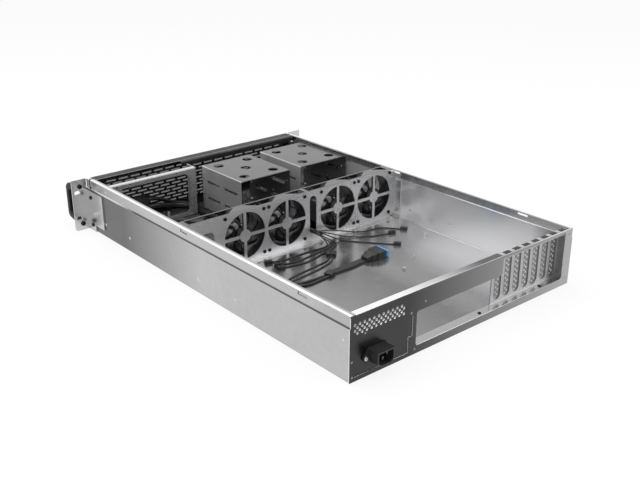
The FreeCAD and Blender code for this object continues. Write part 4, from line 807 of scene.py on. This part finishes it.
def power_setting(name, description, default):
    return FloatProperty(name=name, description=description, default=default, unit="POWER", min=0)


class CaseFinishSettings(bpy.types.PropertyGroup):
    zinc: colour_setting("Zinc sheet", "Colour of the zinc-coated sheet", (0.52, 0.52, 0.525))
    zinc_roughness: share_setting("Zinc roughness", "Roughness of the zinc coat", 0.20)
    # The rear panel's colour is the zinc sheet darkened as painted shade
    rear: colour_setting("Rear panel", "Colour of the dark rear sheet", (0.055, 0.055, 0.057))
    rear_roughness: share_setting("Rear roughness", "Roughness of the rear sheet", 0.24)
    coat: colour_setting("Black coat", "Colour of the powder coat on the front",
                         (0.02, 0.02, 0.022))
    plastic: colour_setting("Black plastic", "Colour of the moulded parts", (0.016, 0.016, 0.017))
    jacket: colour_setting("Lead jacket", "Colour of the leads", (0.013, 0.013, 0.014))
    blue: colour_setting("Blue insert", "Colour of the plug's insert", (0.05, 0.34, 0.74))


class CaseFastenerSettings(bpy.types.PropertyGroup):
    fan_head: length_setting("Fan screw head", "Width of a fan screw's head", 0.0058)
    small_head: length_setting("Small screw head", "Width of a small screw's head", 0.0054)
    rivet_head: length_setting("Rivet head", "Width of a flush rivet's head", 0.0046)
    rear_head: length_setting("Rear rivet head", "Width of a rear rivet's head", 0.0032)
    dimple: length_setting("Dimple", "Width of a pressed dimple in a cage", 0.0032)
    standoff: length_setting("Standoff height", "Height of a board standoff", 0.004)


class CaseFanSettings(bpy.types.PropertyGroup):
    blades: IntProperty(name="Blades", description="Blades of one fan", min=3, max=11, default=7)
    tip: length_setting("Blade reach", "Radius at the blades' tips", 0.0358)


class CaseStageSettings(bpy.types.PropertyGroup):
    floor: colour_setting("Floor", "Colour of the floor", (0.93, 0.93, 0.93))
    floor_glow: share_setting("Floor glow", "Share of the floor that is plain white", 0.85)
    sky: FloatProperty(name="Sky", description="Strength of the even light", min=0, default=0.70)
    key: power_setting("Key light", "Power of the soft light above", 30.0)
    fill: power_setting("Fill light", "Power of the soft light behind", 14.0)


GROUPS = {
    "case_finish": CaseFinishSettings,
    "case_fasteners": CaseFastenerSettings,
    "case_fans": CaseFanSettings,
    "case_stage": CaseStageSettings,
}


class CASE_OT_finish_nodes(bpy.types.Operator):
    """Give every solid of the case its finish"""
    bl_idname = "case.finish_nodes"
    bl_label = "Finish the Case's Solids"

    def execute(self, context):
        FINISHES.update(make_finishes(context.scene.case_finish))
        for part in frame["record"]["subparts"]:
            name = part["node"]
            materials = NODES[name].data.materials
            materials.clear()
            materials.append(FINISHES[OWN_FINISH.get(name, part["material_slot"])])
        return {"FINISHED"}


class CASE_OT_screws(bpy.types.Operator):
    """Add the screws of the fans, slot covers, floor, ears, handles and inlet"""
    bl_idname = "case.screws"
    bl_label = "Screws"

    def execute(self, context):
        fasteners = context.scene.case_fasteners
        small, wide = fasteners.small_head, fasteners.fan_head
        corners = [(u, v) for u in (-FAN_SCREW_REACH, FAN_SCREW_REACH)
                   for v in (-FAN_SCREW_REACH, FAN_SCREW_REACH)]
        fans = [(spot.x + u, FAN_WALL_FACE, FAN_HEIGHT + v)
                for spot in FAN_SPOTS for u, v in corners]
        covers = [(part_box("slot_cover_%d" % n)[0].x + 0.0092, 0.3289, 0.0829) for n in range(1, 8)]
        feet = [(x + u, y, 0.0024) for x in CAGE_MIDDLES.values() for u in (-0.0465, 0.0465)
                for y in (-0.247, -0.1505)]
        feet += [(x, -0.255, 0.0024) for x in (0.060, 0.120, 0.180)]
        ears = [(side * EAR_FACE_X, -0.2955, z) for side in (1, -1) for z in (0.0109, 0.0587)]
        handles = [(side * 0.2274, -0.311, z) for side in (1, -1) for z in (0.0111, 0.0761)]
        inlet = [(x, PLATE_FACE + 0.003, 0.026) for x in (0.1502, 0.1902)]
        along, above = (0, 1, 0), (0, 0, 1)
        # Piece, node it stands for, places, axis, head, shank, length and finish
        groups = [
            ("fan_screw_heads", "fan_screws", fans, along, wide, 0.0041, 0.009, "black_screw"),
            ("cover_screw_heads", "slot_cover_screws", covers, above, small, 0.0029, 0.004,
             "screw_metal"),
            ("floor_screw_heads", "floor_screws", feet, above, small, 0.0029, 0.0012,
             "screw_metal"),
            ("ear_screw_heads", "ear_screws", ears, None, 0.0065, 0.004, 0.002, "black_screw"),
            ("handle_screw_heads", "handle_screws", handles, along, 0.008, 0.0037, 0.010,
             "black_screw"),
            ("inlet_screw_heads", "panel_screws", inlet, along, 0.006, 0.0031, 0.009,
             "screw_metal"),
        ]
        record_slots = {part["node"]: part["material_slot"] for part in frame["record"]["subparts"]}
        for name, node, spots, axis, head, shank, length, finish in groups:
            shells = []
            for number, spot in enumerate(spots):
                way = axis or (math.copysign(1, spot[0]), 0, 0)
                shells.append(cross_screw(spot, way, head, head * 0.32, 0.7 * number))
                shells.append(turned([(shank / 2, 0.0002), (shank / 2, -length * 0.9),
                                      (shank / 4, -length)], spot, way, 16))
            piece = make_piece(name, shells, record_slots[node], material=finish)
            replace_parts(piece, node)
        return {"FINISHED"}


class CASE_OT_rivets(bpy.types.Operator):
    """Add the flush rivets, pressed dimples and board standoffs"""
    bl_idname = "case.rivets"
    bl_label = "Rivets and Standoffs"

    def execute(self, context):
        fasteners = context.scene.case_fasteners

        def dome(spot, axis, width, tall):
            half = width / 2
            return turned([(0, tall), (half * 0.5, tall * 0.92), (half * 0.85, tall * 0.55),
                           (half, tall * 0.05), (half, -0.0002)], spot, axis, 20)

        walls, width = [], fasteners.rivet_head
        for side in (1, -1):
            for y, z, face in WALL_RIVETS:
                walls.append(dome((side * face, y, z), (side, 0, 0), width, 0.0004))
                inner = (side * (face - 0.0012), y, z)
                walls.append(dome(inner, (-side, 0, 0), width * 0.9, 0.0005))
            for y, z in EAR_RIVETS:
                walls.append(dome((side * EAR_FACE_X, y, z), (side, 0, 0), width * 0.8, 0.0003))
        make_piece("wall_rivets", walls, "zinc_sheet", material="rivet_metal")
        panel = [dome((x, REAR_FACE, z), (0, 1, 0), fasteners.rear_head, 0.0004)
                 for x, z in REAR_RIVETS]
        make_piece("rear_rivets", panel, "rear_sheet", material="shaded_rivet")
        ledge = [cross_screw((x, 0.3325, 0.011), (0, 0, 1), 0.005, 0.0014, 0.4)
                 for x in LEDGE_SCREWS]
        make_piece("ledge_screws", ledge, "screw_metal", material="black_screw")
        width = fasteners.dimple
        for name, middle in CAGE_MIDDLES.items():
            cage = []
            for side in (1, -1):
                for y, z in CAGE_DIMPLES:
                    x = middle + side * 0.0515
                    cage.append(dome((x, y, z), (side, 0, 0), width, 0.0003))
                    cage.append(dome((x - side * 0.0012, y, z), (-side, 0, 0), width, 0.0006))
            make_piece("cage_dimples_" + name, cage, "zinc_sheet", material="rivet_metal")
        tall = fasteners.standoff
        post = [(0, tall - 0.002), (0.0014, tall - 0.002), (0.0014, tall - 0.0002),
                (0.0016, tall), (0.0026, tall), (0.0029, tall - 0.0003), (0.0029, 0.0)]
        posts = [turned(post, (x, y, 0.0012), (0, 0, 1)) for x, y in STANDOFFS]
        make_piece("board_standoffs", posts, "screw_metal")
        return {"FINISHED"}


class CASE_OT_screen(bpy.types.Operator):
    """Add the dust screen behind the pierced front panel"""
    bl_idname = "case.screen"
    bl_label = "Dust Screen"

    def execute(self, context):
        low_x, high_x, module = -0.2035, 0.2035, 0.1075
        panes = [((low_x, module), (0.0075, 0.0790)), ((module, high_x), (0.0350, 0.0790)),
                 ((0.1885, high_x), (0.0075, 0.0349))]
        shells = []
        for (left, right), (bottom, top) in panes:
            centre = ((left + right) / 2, SCREEN_Y, (bottom + top) / 2)
            shells.append(rounded_block(centre, (right - left, 0.0004, top - bottom), 0.0001))
        make_piece("grille_screen", shells, "black_panel", material="screen")
        return {"FINISHED"}


class CASE_OT_fans(bpy.types.Operator):
    """Add the four fan impellers with their twisted blades"""
    bl_idname = "case.fans"
    bl_label = "Fan Impellers"

    def execute(self, context):
        fans = context.scene.case_fans
        for number, spot in enumerate(FAN_SPOTS, 1):
            node = "fan_rotor_%d" % number
            front, rear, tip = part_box(node)[0].y, spot.y + 0.00650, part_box(node)[1].y
            hub = [(0, tip), (0.0015, tip), (0.0015, front + 0.0015), (0.0135, front + 0.0015),
                   (0.0135, rear), (0.015, rear), (0.015, front + 0.0012), (0.0146, front + 0.0004),
                   (0.0138, front), (0, front)]
            shells = [turned(hub, (spot.x, 0, FAN_HEIGHT), (0, 1, 0), 48)]
            middle = (spot.x, (front + rear) / 2, FAN_HEIGHT)
            shells += rotor_blades(0.0146, fans.tip, fans.blades, middle)
            piece = make_piece("impeller_blades_%d" % number, shells, "rotor_plastic",
                               "impeller_%d" % number, sharp_deg=50.0)
            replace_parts(piece, node)
        return {"FINISHED"}


def header_shell(route):
    """Small header plug at the end of a lead: a tapered collar, a body and two latch ribs."""
    end, before = np.array(route[-1]), np.array(route[-2])
    along = (end - before) * (1, 1, 0)
    along /= np.linalg.norm(along)
    side = np.array([-along[1], along[0], 0])
    start = np.array([end[0], end[1], 0.0037])
    stations = [(0, 5.2, 3.6, 0.6, 0), (0.6, 6.4, 4.6, 0.7, 0), (2, 7, 5, 0.7, 0),
                (11.4, 7, 5, 0.5, 0), (12, 6.6, 4.6, 0.5, 0), (12, 5.2, 3, 0.2, 0),
                (8.5, 5.2, 3, 0.2, 0)]
    heading = math.atan2(along[1], along[0])
    shells = [tapered(stations, start, along)]
    for shift in (-0.0017, 0.0017):
        spot = start + along * 0.0055 + side * shift + np.array([0, 0, 0.0025])
        shells.append(rounded_block(spot, (0.0048, 0.0011, 0.0007), 0.0003, heading))
    return shells


def boot(points, length, wide, narrow, ribs):
    """Strain relief: a round profile along a lead, narrowing away from the plug, with grooves."""
    walked = np.concatenate([[0], np.cumsum(np.linalg.norm(np.diff(points, axis=0), axis=1))])
    steps = np.linspace(0, length, 4 * ribs + 1)
    line = np.stack([np.interp(steps, walked, points[:, axis]) for axis in range(3)], -1)
    share = steps / length
    radius = wide + (narrow - wide) * share - 0.0005 * (np.arange(len(steps)) % 4 == 2)
    angle = circle(20)
    return swept(line, np.stack([np.cos(angle), np.sin(angle)], -1), radius)


class CASE_OT_plugs(bpy.types.Operator):
    """Add the header plugs, the joining sleeve, the header block with its insert, and the boots"""
    bl_idname = "case.plugs"
    bl_label = "Plugs"

    def execute(self, context):
        for name, (diameter, _) in LEADS.items():
            if diameter == THIN_LEAD:
                shell = make_piece(name + "_plug", header_shell(ROUTES[name]), "black_plastic")
                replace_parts(shell, "header_plugs")
        stations = [(0, 10.5, 5, 1.2, 0), (1, 13, 6, 1.4, 0), (5, 13, 6, 1.4, 0),
                    (5.6, 12.2, 5.4, 1.2, 0), (6.4, 12.2, 5.4, 1.2, 0), (7, 13, 6, 1.4, 0),
                    (13, 13, 6, 1.4, 0), (14.2, 11.8, 4.4, 1.2, 0)]
        start, end = np.array([0.0405, 0.0988, 0.0042]), np.array([0.026, 0.094, 0.0042])
        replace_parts(make_piece("joining_sleeve", [tapered(stations, start, end - start)],
                               "black_plastic"), "header_plugs")

        tail = np.array([-0.0410, 0.0916, 0.0072])
        stations = [(0, 14, 6, 1.5, -2), (2, 15.5, 7.2, 1.8, -1.8), (7, 16, 8.4, 1.8, -1.4),
                    (9, 20.5, 10.4, 1.6, -0.6), (18, 21, 10.6, 1.4, -0.6), (19.2, 25, 12, 1, 0),
                    (35.6, 25, 12, 0.8, 0), (36, 24.6, 11.6, 0.8, 0), (36, 22.2, 9.2, 0.4, 0),
                    (32.2, 22.2, 9.2, 0.4, 0)]
        body = [tapered(stations, tail, (-1, 0, 0))]
        for shift in (-0.0075, 0.0, 0.0075):
            body.append(rounded_block(tail + (-0.0270, shift, 0.0057),
                                      (0.0130, 0.0020, 0.0010), 0.0004))
        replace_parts(make_piece("header_block", body, "black_plastic"), "usb_plug")
        face = tail + (-0.0322, 0, 0)
        stations = [(0, 21.8, 8.8, 0.4, 0), (3.8, 21.8, 8.8, 0.4, 0), (3.8, 24.4, 9.6, 0.6, 0),
                    (4.2, 25, 10, 0.8, 0), (8.8, 25, 10, 0.8, 0), (9.3, 24.4, 9.4, 0.6, 0),
                    (9.3, 20.5, 6.6, 0.3, 0), (6.2, 20.5, 6.6, 0.3, 0), (6.2, 15, 2.2, 0.2, 0),
                    (8.4, 15, 2.2, 0.2, 0)]
        insert = make_piece("header_insert", [tapered(stations, face, (-1, 0, 0))], "blue_plastic")
        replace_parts(insert, "usb_plug_insert")

        line = spline_line("power_lead")
        make_piece("plug_boot", [boot(line[::-1], 0.026, 0.0064, 0.0045, 6)], "black_plastic")
        make_piece("inlet_boot", [boot(line, 0.022, 0.0068, 0.0046, 5)], "black_plastic")
        for name, radius in (("front_loom", 0.0035), ("side_loom", 0.0045)):
            ends = spline_line(name)[::-1]
            make_piece(name + "_sleeve", [boot(ends, 0.012, radius + 0.0004, radius + 0.0003, 1)],
                       "lead_jacket")
        return {"FINISHED"}


class CASE_OT_leads(bpy.types.Operator):
    """Add the looms, thin leads, flat cable and supply lead as free cords"""
    bl_idname = "case.leads"
    bl_label = "Leads"

    def execute(self, context):
        for name, (diameter, far_end) in LEADS.items():
            lead = lead_curve(name, diameter)
            lead.data.materials.append(FINISHES["lead_jacket"])
            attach(lead, "case")
            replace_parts(lead, name)
            length_of(spline_line(name))
        line = spline_line("usb_cable")
        across = np.linspace(-1, 1, 13)
        groove = (np.abs(np.sin(across * np.pi * 1.5)) < 0.3) * (np.abs(across) < 0.9)
        above = 0.0015 - 0.0005 * groove
        across = across * FLAT_CABLE / 2
        ring = list(zip(across, above)) + list(zip(across[::-1], -above))
        flat = make_piece("usb_cable_jacket", [swept(line, ring)], "lead_jacket")
        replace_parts(flat, "usb_cable")
        return {"FINISHED"}


class CASE_OT_stage(bpy.types.Operator):
    """Set up the floor, lights and camera"""
    bl_idname = "case.stage"
    bl_label = "Stage"

    def execute(self, context):
        stage = context.scene.case_stage
        scene = context.scene
        shader = Shader.named("pale_floor")
        matt = shader.add("ShaderNodeBsdfDiffuse", None, {"Color": (*stage.floor, 1.0)})
        glow = shader.add("ShaderNodeEmission", None, {"Color": (1, 1, 1, 1), "Strength": 1.0})
        share = shader.seen() * stage.floor_glow
        both = shader.add("ShaderNodeMixShader", None, {0: share, 1: matt, 2: glow})
        shader.add("ShaderNodeOutputMaterial", None, {"Surface": both}, None)
        corner = np.array([[-1, -1, 0], [1, -1, 0], [1, 1, 0], [-1, 1, 0]]) * 9.0
        mesh = bpy.data.meshes.new("floor")
        mesh.from_pydata(corner.tolist(), [], [(0, 1, 2, 3)])
        mesh.materials.append(shader.material)
        placed("floor", mesh)

        world = bpy.data.worlds.new("soft_studio")
        sky = Shader(world)
        strength = sky.seen().spread(0, 1, stage.sky, 1.0)
        light = sky.add("ShaderNodeBackground", None, {"Color": (1, 1, 1, 1), "Strength": strength})
        sky.add("ShaderNodeOutputWorld", None, {"Surface": light}, None)
        scene.world = world

        for name, power, size, place, target in (
                ("key", stage.key, 2.4, (0.6, -0.5, 2.1), (0, 0, 0)),
                ("fill", stage.fill, 1.6, (-1.6, 1.5, 1.2), (0, 0.1, 0.05))):
            lamp = bpy.data.lights.new(name + "_light", "AREA")
            lamp.energy = power
            lamp.size = size
            light = placed(name + "_light", lamp)
            light.location = place
            aim = Vector(target) - Vector(place)
            light.rotation_euler = aim.to_track_quat("-Z", "Y").to_euler()

        data = bpy.data.cameras.new("camera")
        data.sensor_width = SENSOR_MM
        data.lens = FOCAL_PX * SENSOR_MM / PICTURE_PX[0]
        data.shift_x = (PICTURE_PX[0] / 2 - CENTRE_PX[0]) / PICTURE_PX[0]
        data.shift_y = (CENTRE_PX[1] - PICTURE_PX[1] / 2) / PICTURE_PX[0]
        data.clip_start, data.clip_end = 0.02, 50.0
        camera = placed("camera", data)
        looking = Vector(LOOKING).normalized()
        right = looking.cross(Vector((0, 0, 1))).normalized()
        up = right.cross(looking)
        roll = math.radians(ROLL_DEG)
        right, up = (right * math.cos(roll) + up * math.sin(roll),
                     up * math.cos(roll) - right * math.sin(roll))
        turn = Matrix((right, up, -looking)).transposed().to_4x4()
        camera.matrix_world = Matrix.Translation(EYE) @ turn
        scene.camera = camera
        scene.view_settings.view_transform = "Standard"
        return {"FINISHED"}


OPERATORS = (CASE_OT_stage, CASE_OT_finish_nodes, CASE_OT_screws, CASE_OT_rivets, CASE_OT_screen,
             CASE_OT_fans, CASE_OT_plugs, CASE_OT_leads)


class CASE_PT_panel(bpy.types.Panel):
    """Steps that dress the case, and the sizes and colours they use"""
    bl_label = "Server Case"
    bl_idname = "CASE_PT_panel"
    bl_space_type = "VIEW_3D"
    bl_region_type = "UI"
    bl_category = "Server Case"

    def draw(self, context):
        for operator in OPERATORS:
            self.layout.operator(operator.bl_idname)
        for group, kind in GROUPS.items():
            box = self.layout.box()
            for name in kind.__annotations__:
                box.prop(getattr(context.scene, group), name)


def register():
    for kind in (*GROUPS.values(), *OPERATORS, CASE_PT_panel):
        bpy.utils.register_class(kind)
    for name, kind in GROUPS.items():
        setattr(bpy.types.Scene, name, PointerProperty(type=kind))


def unregister():
    for name in GROUPS:
        delattr(bpy.types.Scene, name)
    for kind in reversed((*GROUPS.values(), *OPERATORS, CASE_PT_panel)):
        bpy.utils.unregister_class(kind)


def main():
    register()
    for operator in OPERATORS:
        group, name = operator.bl_idname.split(".")
        getattr(getattr(bpy.ops, group), name)()


if __name__ == "__main__":
    main()
